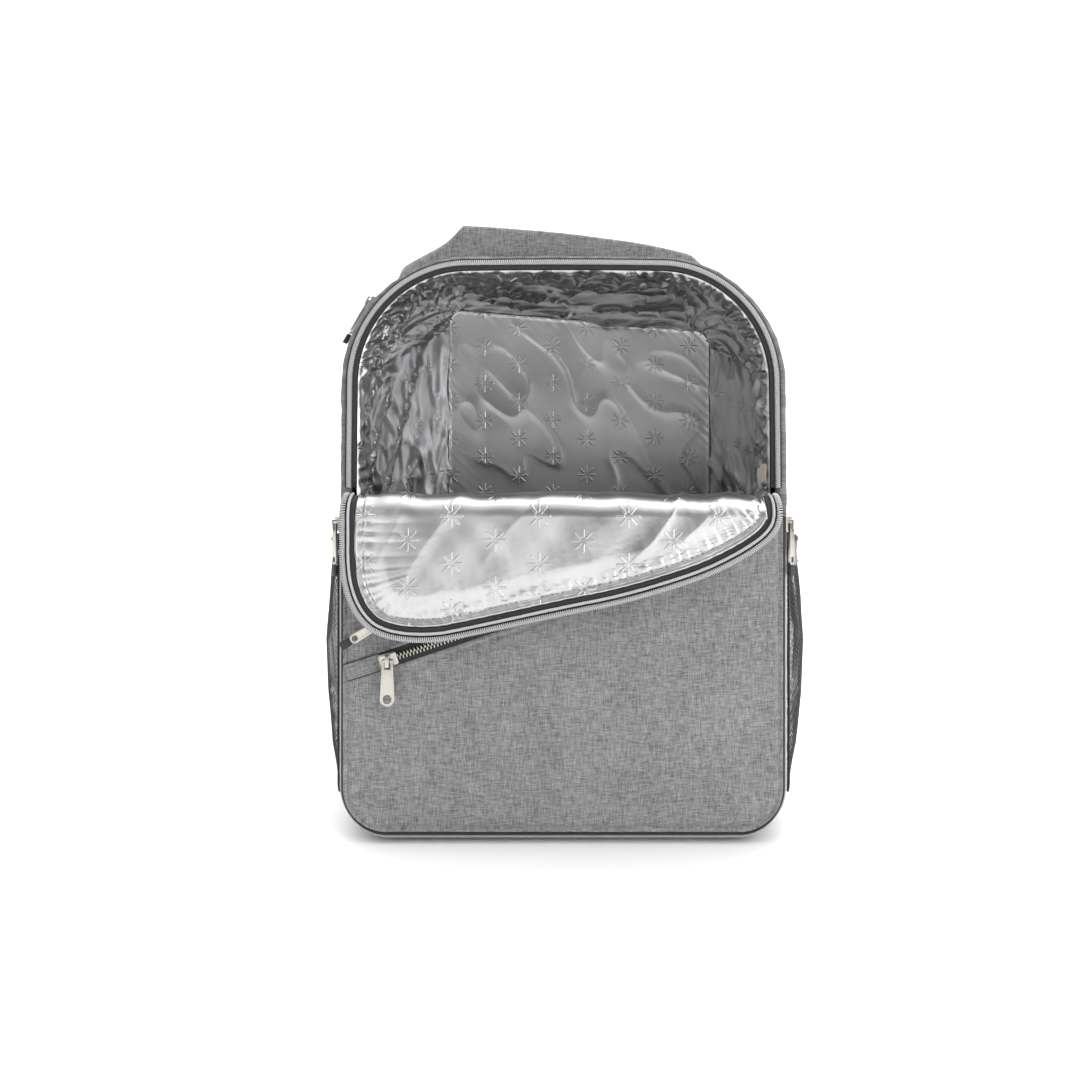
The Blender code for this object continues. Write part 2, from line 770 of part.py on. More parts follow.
def build_flap(mats):
    columns, rows, place = flap_grid(1.5 * MM, 0.0)
    sheet("flap_panel", columns, rows, place, FLAP_WALL, mats["fabric"], inwards=True)
    lining_edge = FLAP_TAPE_WIDTH + 0.5 * MM
    columns, rows, place = flap_grid(lining_edge, GAP + FOIL)
    sheet("flap_lining", columns, rows, place, FOIL, mats["foil"], inwards=True)
    frames = flap_frames()
    strip("flap_zip_tape", frames, FLAP_TAPE_WIDTH, FLAP_GAP, FLAP_GAP + TAPE, mats["tape"])
    low = FLAP_GAP + TAPE + GAP
    strip("flap_zip_coil", frames, FLAP_COIL_WIDTH, low, low + COIL, mats["coil"])
    lift = low + FLAP_PIPING
    run = [
        point + inwards * FLAP_PIPING_INSET + outwards * lift
        for point, inwards, outwards in frames
    ]
    tube("piping_flap", run, FLAP_PIPING, mats["trim"])


def build_pocket(mats):
    loop = panel_loop(0.0)
    middle_z = (SEAM_LOW + SPLIT) / 2
    shares = (0.0, 0.35, 0.65, 0.88, 1.0)

    def place(i, j):
        x, z = loop[i % len(loop)]
        x *= shares[j]
        z = middle_z + (z - middle_z) * shares[j]
        return Vector((x, pocket_y(x, z), z))

    sheet("front_pocket", len(loop), len(shares) - 1, place, SKIN, mats["fabric"], inwards=True)
    tape = ZIP_TAPE_WIDTH
    teeth = TEETH_WIDTH
    low = 2 * GAP + TAPE
    for name, (across, up, length, _) in POCKET_ZIP.items():
        frames = zip_frames((across * SEAM_HALF, up * SPLIT), length * SEAM_HALF)
        strip(f"{name}_zip_tape", frames, tape, GAP, GAP + TAPE, mats["tape"], -tape / 2)
        strip(f"{name}_zip_teeth", frames, teeth, low, low + COIL, mats["metal"], -teeth / 2)


def net_point(side, share_y, height, off):
    """A point of the net's outer face, off the side band by off at the middle of its depth."""
    y = NET_HALF_DEPTH * share_y
    full = 1 - abs(share_y) ** 5
    return Vector((side * (band_side(height, y) + GAP + NET + off * full), y, height))


def build_side_pockets(mats):
    across = (-1.0, -0.9, -0.7, -0.35, 0.0, 0.35, 0.7, 0.9, 1.0)
    for word, side in (("left", -1), ("right", 1)):
        top = NET_HIGH - NET_BAND
        heights = [NET_LOW + (top - NET_LOW) * share for share, _ in NET_PUFF]

        def net(i, j):
            off = NET_PUFF[j][1] * NET_FULL
            return net_point(side, across[i], heights[j], off)

        def band(i, j):
            off = NET_PUFF[-1][1] * NET_FULL
            return net_point(side, across[i], top + GAP + NET_BAND * j, off)

        flip = side < 0
        sheet(f"mesh_pocket_{word}", 8, len(heights) - 1, net, NET, mats["net"], flip)
        sheet(f"pocket_band_{word}", 8, 1, band, NET, mats["fabric"], flip)


def handle_rows():
    """The handle's table with more rows where its feet follow the round shoulders."""
    rows = []
    for row, after in zip(HANDLE, HANDLE[1:]):
        parts = FOOT_PARTS if min(row[1], after[1]) == 0 else 1
        for part in range(parts):
            share = part / parts
            rows.append([a + (b - a) * share for a, b in zip(row, after)])
    return rows + [list(HANDLE[-1])]


def build_handle(mats):
    sections = []
    shoulder = SEAM_HIGH - TOP_RADIUS
    for along, above, upper, wide in handle_rows():
        x = along * SEAM_HALF
        half = wide * HANDLE_WIDTH / 2
        seats = [band_top(x, HANDLE_Y + side * half) for side in (-1, 0, 1)]
        low = max(seats) + FOOT_LIFT + above * GRIP_RISE
        high = shoulder + upper * (TOP_RADIUS + HANDLE_RISE)
        soft = min(half, (high - low) / 2) * 0.45
        profile = (
            (-half, low),
            (half, low),
            (half, high - soft),
            (half - soft, high),
            (soft - half, high),
            (-half, high - soft),
        )
        sections.append([Vector((x, HANDLE_Y + y, z)) for y, z in profile])
    loft("top_handle", sections, mats["fabric"])


def strap_section(middle, y, height, half):
    """A padded strap's cross-section, flat across its width with thin rounded sides."""
    return [
        Vector((middle + across * half, y + off * STRAP_PAD, height))
        for across, off in (
            (-1, -0.2),
            (-1, 0.2),
            (-0.8, 0.5),
            (0.8, 0.5),
            (1, 0.2),
            (1, -0.2),
            (0.8, -0.5),
            (-0.8, -0.5),
        )
    ]


def build_straps(mats):
    back = DEPTH / 2
    for word, side in (("left", -1), ("right", 1)):
        sections = []
        for height, bow, spread, wide in STRAP_RUN:
            middle = side * (STRAP_X + spread * STRAP_SPREAD)
            y = back + bow * STRAP_BOW
            half = STRAP_WIDTH * wide / 2
            sections.append(strap_section(middle, y, height * SEAM_HIGH, half))
        loft(f"shoulder_strap_{word}", sections, mats["fabric"])
        end = Vector((middle, y, height * SEAM_HIGH))
        foot_x, foot_z = WEBBING_FOOT
        foot = Vector((side * foot_x, back + GAP, foot_z))
        knee = foot + Vector((-side * WEBBING_KNEE[0], 0, WEBBING_KNEE[1]))
        along = (knee - end).normalized()
        across = Vector((along.z, 0, -along.x)).normalized()
        wide, tall, thick = BUCKLE
        slant = abs(across.z) * wide / 2 + abs(along.y) * thick + GAP
        place = fabric_place(end + along * slant, along, along.cross(across))
        low = (-wide / 2, 0, -thick / 2)
        high = (wide / 2, tall, thick / 2)
        buckle = box_body(f"strap_buckle_{word}", low, high, mats["rubber"], 1.2 * MM)
        buckle.matrix_world = place
        start = end + along * (slant + tall + thick)
        outwards = Vector((0, 1, 0))
        frames = [(at, across, outwards) for at in (start, knee, foot)]
        name = f"strap_webbing_{word}"
        strip(name, frames, WEBBING_WIDTH, 0, WEBBING, mats["tape"], -WEBBING_WIDTH / 2)


def rear_frames(width):
    """Frames along the zip that follows the top of the side band, from right to left."""
    share = (REAR_ZIP_Y - BAND_FRONT) / BAND_DEPTH
    points = upper_part(body_outline(*read_puff(share)), RIM_END)
    frames = []
    for index, (x, z) in enumerate(points):
        before = points[max(index - 1, 0)]
        after = points[min(index + 1, len(points) - 1)]
        outwards = Vector((after[1] - before[1], 0, before[0] - after[0])).normalized()
        frames.append((Vector((x, REAR_ZIP_Y - width / 2, z)), Vector((0, 1, 0)), outwards))
    return frames


def build_rear_zip(mats):
    low = REAR_LIFT
    frames = rear_frames(REAR_ZIP_WIDTH)
    strip("rear_zip_tape", frames, REAR_ZIP_WIDTH, low, low + TAPE, mats["tape"])
    low += TAPE + GAP
    frames = rear_frames(REAR_COIL_WIDTH)
    strip("rear_zip_coil", frames, REAR_COIL_WIDTH, low, low + COIL / 2, mats["coil"])


def pocket_pull_seat(zip_name, down):
    """Where a pocket zip's slider sits: its place on the teeth, near the zip's left end."""
    across, up, _, along = POCKET_ZIP[zip_name]
    turn = math.radians(ZIP_SLOPE)
    x = (across + along * math.cos(turn)) * SEAM_HALF
    z = up * SPLIT + along * SEAM_HALF * math.sin(turn)
    lift = 3 * GAP + TAPE + COIL
    place = fabric_place(Vector((x, pocket_y(x, z) - lift, z)), down, Vector((0, -1, 0)))
    ahead = place.to_3x3().transposed() @ Vector((math.cos(turn), 0, math.sin(turn)))
    return place, math.atan2(ahead.y, ahead.x) - math.pi / 2


def rim_pull_seat(side):
    """Where the main zip's slider sits: on the front piping, turned half towards the side."""
    away = PIPING + GAP
    outwards = Vector((side * math.sin(RIM_PULL_TURN), -math.cos(RIM_PULL_TURN), 0))
    cord = Vector((side * (SEAM_HALF + away), BAND_FRONT - away, RIM_PULL_HEIGHT))
    return fabric_place(cord + outwards * away, Vector((0, 0, -1)), outwards)


def rear_pull_seat():
    """Where the rear zip's slider sits on the left shoulder, its pull hanging along the curve."""
    share = (REAR_ZIP_Y - BAND_FRONT) / BAND_DEPTH
    top = TOP_RADIUS + read_puff(share)[2]
    lift = REAR_LIFT + TAPE + 2 * GAP + COIL / 2 + REAR_SLIDER_LIFT
    turn = math.radians(REAR_PULL_TURN)
    lean = math.radians(REAR_PULL_LEAN)
    radius = top + lift
    x = -(SEAM_HALF - TOP_RADIUS) - radius * math.sin(turn)
    z = SEAM_HIGH - TOP_RADIUS + radius * math.cos(turn)
    down = Vector((-math.cos(lean), 0, -math.sin(lean)))
    outwards = Vector((-math.sin(lean), 0, math.cos(lean)))
    return fabric_place(Vector((x, REAR_ZIP_Y, z)), down, outwards)


def build_pulls(mats):
    down = Vector((0, 0, -1))
    slant = math.radians(UPPER_PULL_SLOPE)
    aside = Vector((-math.cos(slant), 0, -math.sin(slant)))
    seats = {
        # name: seat, turn of the slider
        "pocket": pocket_pull_seat("pocket", down),
        "upper": pocket_pull_seat("upper", aside),
        "main_left": (rim_pull_seat(-1), 0.0),
        "main_right": (rim_pull_seat(1), 0.0),
        "rear": (rear_pull_seat(), 0.0),
    }
    for name, (place, turn) in seats.items():
        large = name == "pocket"
        scale = POCKET_ZIP_SCALE if large else 1.0
        length = POCKET_PULL_LENGTH if large else PULL_LENGTH
        wider = POCKET_PULL_WIDER if large else 1.0
        slider(f"{name}_slider", place, mats["metal"], turn, scale)
        pull(f"{name}_pull", place, mats["metal"], length, wider, scale)
        if not large:
            pull_tip(f"{name}_pull_tip", place, mats["rubber"])


def clear_scene():
    for obj in list(bpy.data.objects):
        bpy.data.objects.remove(obj)


def main():
    clear_scene()
    mats = {
        "fabric": material("heather_polyester", (143, 143, 144), 0.9),
        "trim": material("trim_cord", (168, 168, 168), 0.8),
        "coil": material("zip_coil", (158, 158, 158), 0.5),
        "tape": material("zip_tape", (42, 42, 44), 0.85),
        "foil": material("foil_lining", (205, 206, 210), 0.25, 0.9),
        "metal": material("nickel", (206, 202, 196), 0.3, 0.9),
        "net": material("polyester_net", (40, 40, 42), 0.7),
        "label": material("satin_label", (200, 196, 186), 0.6),
        "rubber": material("soft_moulding", (38, 38, 40), 0.6),
    }
    build_body(mats)
    build_piping(mats)
    build_lining(mats)
    build_rim(mats)
    build_flap(mats)
    build_pocket(mats)
    build_side_pockets(mats)
    build_handle(mats)
    build_straps(mats)
    build_rear_zip(mats)
    build_pulls(mats)


main()
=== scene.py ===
"""Cooler backpack, open in front: cloth, foil, zips, net and metal around the packed frame.

Lengths in the tables are millimetres. X is to the right, -Y the front, +Z up.
"""

import json
import math

import bmesh
import bpy
import numpy as np
from mathutils import Matrix, Vector, noise

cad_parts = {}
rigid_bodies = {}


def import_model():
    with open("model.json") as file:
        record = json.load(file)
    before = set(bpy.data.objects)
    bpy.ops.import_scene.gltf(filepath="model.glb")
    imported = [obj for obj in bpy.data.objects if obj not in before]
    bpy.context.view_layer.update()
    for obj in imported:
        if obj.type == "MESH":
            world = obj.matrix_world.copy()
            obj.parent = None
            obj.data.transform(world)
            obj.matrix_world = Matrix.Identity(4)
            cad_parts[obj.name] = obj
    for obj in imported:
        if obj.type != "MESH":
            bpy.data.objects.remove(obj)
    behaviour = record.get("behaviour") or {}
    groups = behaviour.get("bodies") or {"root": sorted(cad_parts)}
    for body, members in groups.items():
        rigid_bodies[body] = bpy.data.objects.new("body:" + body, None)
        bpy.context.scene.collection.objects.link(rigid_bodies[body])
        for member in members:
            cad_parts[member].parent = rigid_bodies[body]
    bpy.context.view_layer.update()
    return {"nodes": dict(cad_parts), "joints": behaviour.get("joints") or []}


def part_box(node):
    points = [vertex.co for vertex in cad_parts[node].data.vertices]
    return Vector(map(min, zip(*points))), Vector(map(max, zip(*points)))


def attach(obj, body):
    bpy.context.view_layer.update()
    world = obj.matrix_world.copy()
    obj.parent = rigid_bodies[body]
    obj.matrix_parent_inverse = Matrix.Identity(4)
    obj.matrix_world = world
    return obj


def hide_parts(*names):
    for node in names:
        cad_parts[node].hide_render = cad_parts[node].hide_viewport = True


for startup in list(bpy.data.objects):
    bpy.data.objects.remove(startup)
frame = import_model()

bl_info = {
    "name": "Cooler Backpack",
    "version": (1, 0, 0),
    "blender": (4, 5, 0),
    "location": "View3D > Sidebar > Cooler",
    "description": "Builds an open insulated backpack around its packed frame",
    "category": "Add Mesh",
}

MM = 0.001
GAP = 0.3
# The frame's own sizes, as the packed solids have them
SEAM_HALF, SEAM_LOW, SEAM_HIGH = 158.5, 9.0, 419.5
LOW_RADIUS, TOP_RADIUS, TOP_CROWN, TOP_TAPER = 32.0, 86.0, 3.0, 0.01
SPLIT = 236.0
FRONT, PANEL_BACK, BAND_FRONT, BAND_DEPTH = -85.0, -79.8, -79.5, 159.0
BAND_WALL = 8.0
BAND_PUFF = np.array(
    (
        # depth share, at the sides, at the base, at the top
        (0.00, 3.0, 3.5, 1.5),
        (0.02, 4.8, 7.0, 2.2),
        (0.06, 5.5, 9.0, 3.0),
        (0.25, 7.5, 9.0, 4.5),
        (0.50, 8.5, 9.0, 5.0),
        (0.75, 7.5, 9.0, 4.5),
        (0.94, 5.5, 9.0, 3.0),
        (0.98, 4.8, 7.0, 2.2),
        (1.00, 3.0, 3.5, 1.5),
    )
)
LINING_INSET = 8.3
LINING_BACK = (118.0, 19.3, 409.0, 23.7, 16.0)  # half, low, high, low radius, top radius
LINING_SHIFT = 8.5
LINING_FALL = 20.0  # how much lower the back's top is at the right
LINING_END = 78.2
RIM_END = 254.0
FLAP_HALF, FLAP_SHIFT, FLAP_FACE = 153.5, -2.0, -79.9
FOLD_TOP, FLAP_DROP, ROLL_HEIGHT = 250.0, 100.8, 12.0
ROLL_LEFT, ROLL_RIGHT, ROLL_RUN = 12.0, 19.0, 38.0
ROLL_AXIS = FOLD_TOP - ROLL_HEIGHT
FLAP_RIM = (
    # share of the half width, share of the drop
    (-1.000, 0.440),
    (-0.989, 0.600),
    (-0.951, 0.770),
    (-0.882, 0.905),
    (-0.801, 0.968),
    (-0.688, 1.000),
    (-0.547, 0.996),
    (-0.443, 0.964),
    (-0.220, 0.888),
    (0.027, 0.800),
    (0.294, 0.716),
    (0.581, 0.580),
    (0.719, 0.495),
    (0.861, 0.378),
    (0.955, 0.270),
    (1.000, 0.153),
)
FLAP_TAPE, FLAP_COIL, FLAP_CORD_INSET = 10.4, 4.4, 6.3
SKIN, POCKET_PUFF = 1.3, 3.0
POCKET_ZIPS = {
    # left end, length, slope, tape width
    "pocket": ((-131.0, 131.9), 178.0, 18.6, 12.0),
    "upper": ((-131.0, 161.5), 120.0, 18.6, 12.0),
}
NET_HALF_DEPTH, NET_LOW, NET_TOP, NET_HIGH = 73.0, 34.0, 197.0, 216.0
NET_PUFF = (
    # share of the height, how far it stands off the side
    (0.00, 0.6),
    (0.06, 5.0),
    (0.18, 10.5),
    (0.40, 15.0),
    (0.65, 16.5),
    (0.85, 14.0),
    (1.00, 11.0),
)
REAR_ZIP_Y = -50.0
STRAP_RUN = (
    # height, distance behind the middle, middle's distance from the centre line, half width
    (401.9, 89.2, 47.8, 24.9),
    (383.9, 97.0, 49.8, 26.7),
    (352.0, 109.0, 55.8, 29.0),
    (310.0, 116.0, 64.8, 29.6),
    (262.2, 116.0, 74.8, 28.4),
    (213.9, 109.0, 83.8, 26.1),
    (176.2, 101.0, 89.8, 22.6),
    (159.8, 97.5, 91.8, 19.1),
)
STRAP_PAD = 9.0
STRAP_VOXEL, STRAP_PRESSURE, STRAP_SWELL = 4.0, 4.0, 2.5
BACK_CORD, FRONT_CORD, CORD_DROP = 1.3, 1.9, 2.6
FRONT_CORD_END = 132  # seam points from the base's middle to each end of the front cord
TAPE_THICK, FOIL_THICK, COIL_WIRE = 0.7, 0.4, 0.42
ARM_MIDDLE, ARM_HALF = 5.2, 2.3  # along an arm of the embossed flakes
RIM_TAPE, FLAP_FOIL_INSET = 7.8, 10.9
CAMERA_PLACE, CAMERA_LENS, CAMERA_SHIFT = (0.023, -0.735, 0.291), 30.09, (-0.051, -0.093)


def linear(colour):
    """A linear colour from an sRGB hex value."""
    parts = [(colour >> shift & 255) / 255 for shift in (16, 8, 0)]
    return tuple(c / 12.92 if c <= 0.04045 else ((c + 0.055) / 1.055) ** 2.4 for c in parts)


def colour_property(name, about, colour):
    return bpy.props.FloatVectorProperty(
        name=name,
        description=about,
        default=linear(colour),
        subtype="COLOR",
        size=3,
        min=0.0,
        max=1.0,
    )


def length_property(name, about, millimetres):
    return bpy.props.FloatProperty(
        name=name,
        description=about,
        default=millimetres * MM,
        subtype="DISTANCE",
        unit="LENGTH",
        min=0.0,
    )


class CoolerColours(bpy.types.PropertyGroup):
    cloth_dark: colour_property("Cloth, dark fibre", "The darker yarn of the shell", 0x484848)
    cloth_light: colour_property("Cloth, light fibre", "The lighter yarn of the shell", 0xA0A0A0)
    foil: colour_property("Foil", "The aluminised film inside", 0xC6C6C7)
    trim: colour_property("Trim cord", "The cords sewn into the seams", 0xB8B8B8)
    coil: colour_property("Zip coil", "The nylon coils", 0xBCBCBC)
    tape: colour_property("Zip tape", "Tapes, bindings and webbing", 0x2A2A2D)
    nickel: colour_property("Nickel", "Sliders, pulls and teeth", 0xBDB9B1)
    moulding: colour_property("Moulding", "Pull tips and buckles", 0x242427)
    net: colour_property("Net", "The side pockets' net", 0x2C2C2F)
    label: colour_property("Label", "The blank label", 0xCFC8BA)
    thread: colour_property("Thread", "The stitching", 0x8C8C8E)


class CoolerSizes(bpy.types.PropertyGroup):
    thread_pitch: length_property("Yarn spacing", "From yarn to yarn of the shell", 0.7)
    streak: length_property("Melange streak", "Length of one shade along a yarn", 9.0)
    coil_pitch: length_property("Coil pitch", "From turn to turn of a zip coil", 1.5)
    tooth_pitch: length_property("Tooth pitch", "From tooth to tooth on one side", 2.6)
    net_pitch: length_property("Net mesh", "From strand to strand of the net", 2.6)
    net_strand: length_property("Net strand", "Thickness of a strand", 0.55)
    hem_depth: length_property("Hem pleats", "Depth of the foil's gathers", 1.5)
    fold_depth: length_property("Foil folds", "Depth of the foil's soft folds", 2.2)
    stitch: length_property("Stitch", "Length of one stitch", 2.6)
    flake_columns: length_property("Flake columns", "From column to column of the emboss", 30.6)
    flake_rows: length_property("Flake rows", "From row to row of the emboss", 33.0)


def colours():
    return bpy.context.scene.cooler_colours


def size(name):
    """One of the panel's lengths, in millimetres."""
    return getattr(bpy.context.scene.cooler_sizes, name) / MM


# Materials


def add(tree, kind, inputs=(), **settings):
    """Adds a shader node with its settings and links, and returns its first output."""
    made = tree.nodes.new("ShaderNode" + kind)
    for key, value in settings.items():
        setattr(made, key, value)
    for key, value in dict(inputs).items():
        if isinstance(value, bpy.types.NodeSocket):
            tree.links.new(value, made.inputs[key])
        else:
            made.inputs[key].default_value = value
    return made.outputs[0]


def maths(tree, operation, *values):
    return add(tree, "Math", enumerate(values), operation=operation)


def noise_at(tree, place, scale, detail=3.0, **more):
    return add(tree, "TexNoise", {"Vector": place, "Scale": scale, "Detail": detail, **more})


def remap(tree, value, reads=(0.0, 1.0), gives=(0.0, 1.0), **settings):
    """The value carried from the range it reads to the range it gives."""
    ends = zip(("From Min", "From Max", "To Min", "To Max"), (*reads, *gives))
    return add(tree, "MapRange", {"Value": value, **dict(ends)}, **settings)


def start_material(name, colour, roughness, metallic=0.0, **sockets):
    """A Principled material with its constants on the shader's own sockets."""
    made = bpy.data.materials.new(name)
    made.use_nodes = True
    shader = made.node_tree.nodes["Principled BSDF"]
    shader.inputs["Base Color"].default_value = (*colour, 1)
    shader.inputs["Roughness"].default_value = roughness
    shader.inputs["Metallic"].default_value = metallic
    for key, value in sockets.items():
        shader.inputs[key.replace("_", " ")].default_value = value
    return made, made.node_tree, shader


def bump_into(tree, shader, steps):
    """Chains bumps of (height socket, distance in mm, strength) into the shader's normal."""
    normal = None
    for height, distance, strength in steps:
        inputs = {"Height": height, "Distance": distance * MM, "Strength": strength}
        if normal is not None:
            inputs["Normal"] = normal
        normal = add(tree, "Bump", inputs)
    tree.links.new(normal, shader.inputs["Normal"])


def yarn_nodes(tree, pitch, streak):
    """Plain weave on the piece's cloth map: the shade of the yarns, and their height."""
    chart = add(tree, "UVMap", uv_map="cloth")
    split = add(tree, "SeparateXYZ", {0: chart}).node
    across, along = split.outputs[0], split.outputs[1]
    counts = []
    rounds = []
    for value in (across, along):
        turns = maths(tree, "DIVIDE", value, pitch)
        counts.append(maths(tree, "FLOOR", turns))
        wave = maths(tree, "MULTIPLY", turns, math.pi)
        wave = maths(tree, "SINE", wave)
        rounds.append(maths(tree, "ABSOLUTE", wave))
    shades = []
    for count, run, offset in ((counts[0], along, 0.0), (counts[1], across, 41.0)):
        row = maths(tree, "MULTIPLY", count, 3.71)
        run = maths(tree, "DIVIDE", run, streak)
        place = add(tree, "CombineXYZ", {0: row, 1: run, 2: offset})
        shades.append(noise_at(tree, place, 1.0, 2.0, Roughness=0.6))
    both = maths(tree, "ADD", counts[0], counts[1])
    over = maths(tree, "FLOORED_MODULO", both, 2.0)
    # Yarns of both ways add up, so that light and dark ones read as lines across each other
    even = add(tree, "Mix", {0: 0.5, 2: shades[0], 3: shades[1]}, data_type="FLOAT")
    top = add(tree, "Mix", {0: over, 2: shades[0], 3: shades[1]}, data_type="FLOAT")
    shade = add(tree, "Mix", {0: 0.3, 2: even, 3: top}, data_type="FLOAT")
    height = add(tree, "Mix", {0: over, 2: rounds[0], 3: rounds[1]}, data_type="FLOAT")
    return shade, height


def heather_polyester():
    """Woven 600 denier polyester of two grey yarns: matt, with short crossed streaks.

    The yarns are drawn a little wider than the real 0.5 mm so that they show.
    """
    hues = colours()
    made, tree, shader = start_material(
        "heather_polyester", hues.cloth_light, 0.92, Sheen_Weight=0.06, Sheen_Roughness=0.6
    )
    shade, height = yarn_nodes(tree, size("thread_pitch"), size("streak"))
    spots = add(tree, "TexCoord").node.outputs["Object"]
    clouds = remap(tree, noise_at(tree, spots, 28.0), (0.3, 0.7), (-0.02, 0.02))
    shade = maths(tree, "ADD", shade, clouds)
    tone = remap(tree, shade, (0.3, 0.7))
    # painted shade: the colour is scaled from 0.82 in the dips between yarns to 1.02 on their crests
    low = maths(tree, "MULTIPLY_ADD", height, 0.2, 0.82)
    colour = add(
        tree,
        "Mix",
        {0: tone, 6: (*hues.cloth_dark, 1), 7: (*hues.cloth_light, 1)},
        data_type="RGBA",
    ).node.outputs[2]
    shaded = add(tree, "VectorMath", {0: colour, 1: low}, operation="MULTIPLY")
    tree.links.new(shaded, shader.inputs["Base Color"])
    fuzz = noise_at(tree, spots, 900.0, 2.0)
    bump_into(tree, shader, ((height, 0.12, 0.5), (fuzz, 0.08, 0.2)))
    return made


def foil_film():
    """Aluminised film on thin foam: a soft mirror with crumples and embossed eight-armed flakes."""
    hues = colours()
    made, tree, shader = start_material("foil_film", hues.foil, 0.26, 1.0)
    chart = add(tree, "UVMap", uv_map="cloth")
    split = add(tree, "SeparateXYZ", {0: chart}).node
    wide, tall = size("flake_columns"), size("flake_rows")
    column = maths(tree, "DIVIDE", split.outputs[0], wide)
    count = maths(tree, "FLOOR", column)
    odd = maths(tree, "FLOORED_MODULO", count, 2.0)
    row = maths(tree, "DIVIDE", split.outputs[1], tall)
    row = maths(tree, "MULTIPLY_ADD", odd, 0.5, row)
    inside = []
    for value, span in ((column, wide), (row, tall)):
        share = maths(tree, "FRACT", value)
        share = maths(tree, "SUBTRACT", share, 0.5)
        inside.append(maths(tree, "MULTIPLY", share, span))
    spot = add(tree, "CombineXYZ", {0: inside[0], 1: inside[1]})
    reach = add(tree, "VectorMath", {0: spot}, operation="LENGTH").node.outputs["Value"]
    turn = maths(tree, "ARCTAN2", inside[1], inside[0])
    fold = maths(tree, "PINGPONG", turn, math.pi / 8)
    # Each arm is a raised bar, 1.6 mm wide, from 2.5 to 8 mm out
    out = maths(tree, "COSINE", fold)
    out = maths(tree, "MULTIPLY_ADD", out, reach, -ARM_MIDDLE)
    out = maths(tree, "ABSOLUTE", out)
    out = maths(tree, "SUBTRACT", out, ARM_HALF)
    out = maths(tree, "MAXIMUM", out, 0.0)
    aside = maths(tree, "SINE", fold)
    aside = maths(tree, "MULTIPLY", aside, reach)
    arm = add(tree, "CombineXYZ", {0: out, 1: aside})
    near = add(tree, "VectorMath", {0: arm}, operation="LENGTH").node.outputs["Value"]
    soft = {"interpolation_type": "SMOOTHSTEP"}
    flake = remap(tree, near, (0.35, 1.0), (1.0, 0.0), **soft)
    # painted shadow: a ring just outside each raised arm, which darkens the foil by up to a tenth
    arm_shadow = remap(tree, near, (0.8, 1.7), (1.0, 0.0), **soft)
    arm_shadow = maths(tree, "SUBTRACT", arm_shadow, flake)
    spots = add(tree, "TexCoord").node.outputs["Object"]
    clouds = noise_at(tree, spots, 22.0)
    tone = remap(tree, clouds, (0.3, 0.7), (0.84, 0.98))
    # the foil's random tone, less the painted shadow round the arms
    pale = maths(tree, "MULTIPLY_ADD", arm_shadow, -0.1, tone)
    colour = add(tree, "VectorMath", {0: (*hues.foil,), 1: pale}, operation="MULTIPLY")
    tree.links.new(colour, shader.inputs["Base Color"])
    tree.links.new(remap(tree, clouds, (0.3, 0.7), (0.3, 0.4)), shader.inputs["Roughness"])
    crumple = noise_at(tree, spots, 55.0, Roughness=0.45, Distortion=0.6)
    bump_into(tree, shader, ((crumple, 1.2, 0.13), (flake, 0.35, 0.8)))
    return made


def yarn_finish(name, colour, dark, roughness, pitch, distance, sheen=0.1):
    """A plain woven or corded finish of one colour on the piece's cloth map."""
    made, tree, shader = start_material(name, colour, roughness, Sheen_Weight=sheen)
    shade, height = yarn_nodes(tree, pitch, pitch * 6)
    tone = maths(tree, "MULTIPLY_ADD", shade, 0.35, 0.15)
    # painted shade: the weave's height moves the colour to its darker copy in the dips between yarns and to
    # the full colour on their crests
    tone = maths(tree, "MULTIPLY_ADD", height, 0.5, tone)
    shaded = add(
        tree, "Mix", {0: tone, 6: (*(c * dark for c in colour), 1), 7: (*colour, 1)}, data_type="RGBA"
    ).node.outputs[2]
    tree.links.new(shaded, shader.inputs["Base Color"])
    bump_into(tree, shader, ((height, distance, 0.7),))
    return made


def trim_cord():
    """Cotton-like piping wrapped in a fine light grey weave, about 0.6 mm a yarn."""
    return yarn_finish("trim_cord", colours().trim, 0.62, 0.88, 0.6, 0.1)


def woven_tape():
    """Black woven polyester tape, matt, with a fine rib of 0.6 mm."""
    return yarn_finish("woven_tape", colours().tape, 0.45, 0.82, 0.6, 0.12)


def net_yarn():
    """Black polyester net, each strand a twisted bundle of fine yarn."""
    made, tree, shader = start_material("net_yarn", colours().net, 0.62, Sheen_Weight=0.25)
    spots = add(tree, "TexCoord").node.outputs["Object"]
    twist = noise_at(tree, spots, 1500.0, 2.0)
    tone = remap(tree, twist, gives=(0.6, 1.5))
    shaded = add(tree, "VectorMath", {0: (*colours().net,), 1: tone}, operation="MULTIPLY")
    tree.links.new(shaded, shader.inputs["Base Color"])
    bump_into(tree, shader, ((twist, 0.1, 0.5),))
    return made


def plain_finish(name, colour, roughness, metallic, grain, depth, spread):
    """A moulded, plated or spun finish: one colour with fine grain, smudges and uneven gloss."""
    made, tree, shader = start_material(name, colour, roughness, metallic)
    spots = add(tree, "TexCoord").node.outputs["Object"]
    fine = noise_at(tree, spots, 1000 / grain)
    smudge = noise_at(tree, spots, 260.0, 4.0)
    tone = remap(tree, smudge, gives=(1 - spread, 1 + spread / 2))
    shaded = add(tree, "VectorMath", {0: (*colour,), 1: tone}, operation="MULTIPLY")
    tree.links.new(shaded, shader.inputs["Base Color"])
    gloss = remap(tree, smudge, gives=(roughness * 0.8, roughness * 1.25))
    tree.links.new(gloss, shader.inputs["Roughness"])
    bump_into(tree, shader, ((fine, depth, 0.5),))
    return made


def nylon_coil():
    """Extruded nylon monofilament, a slightly glossy light grey."""
    return plain_finish("nylon_coil", colours().coil, 0.42, 0.0, 0.5, 0.03, 0.1)


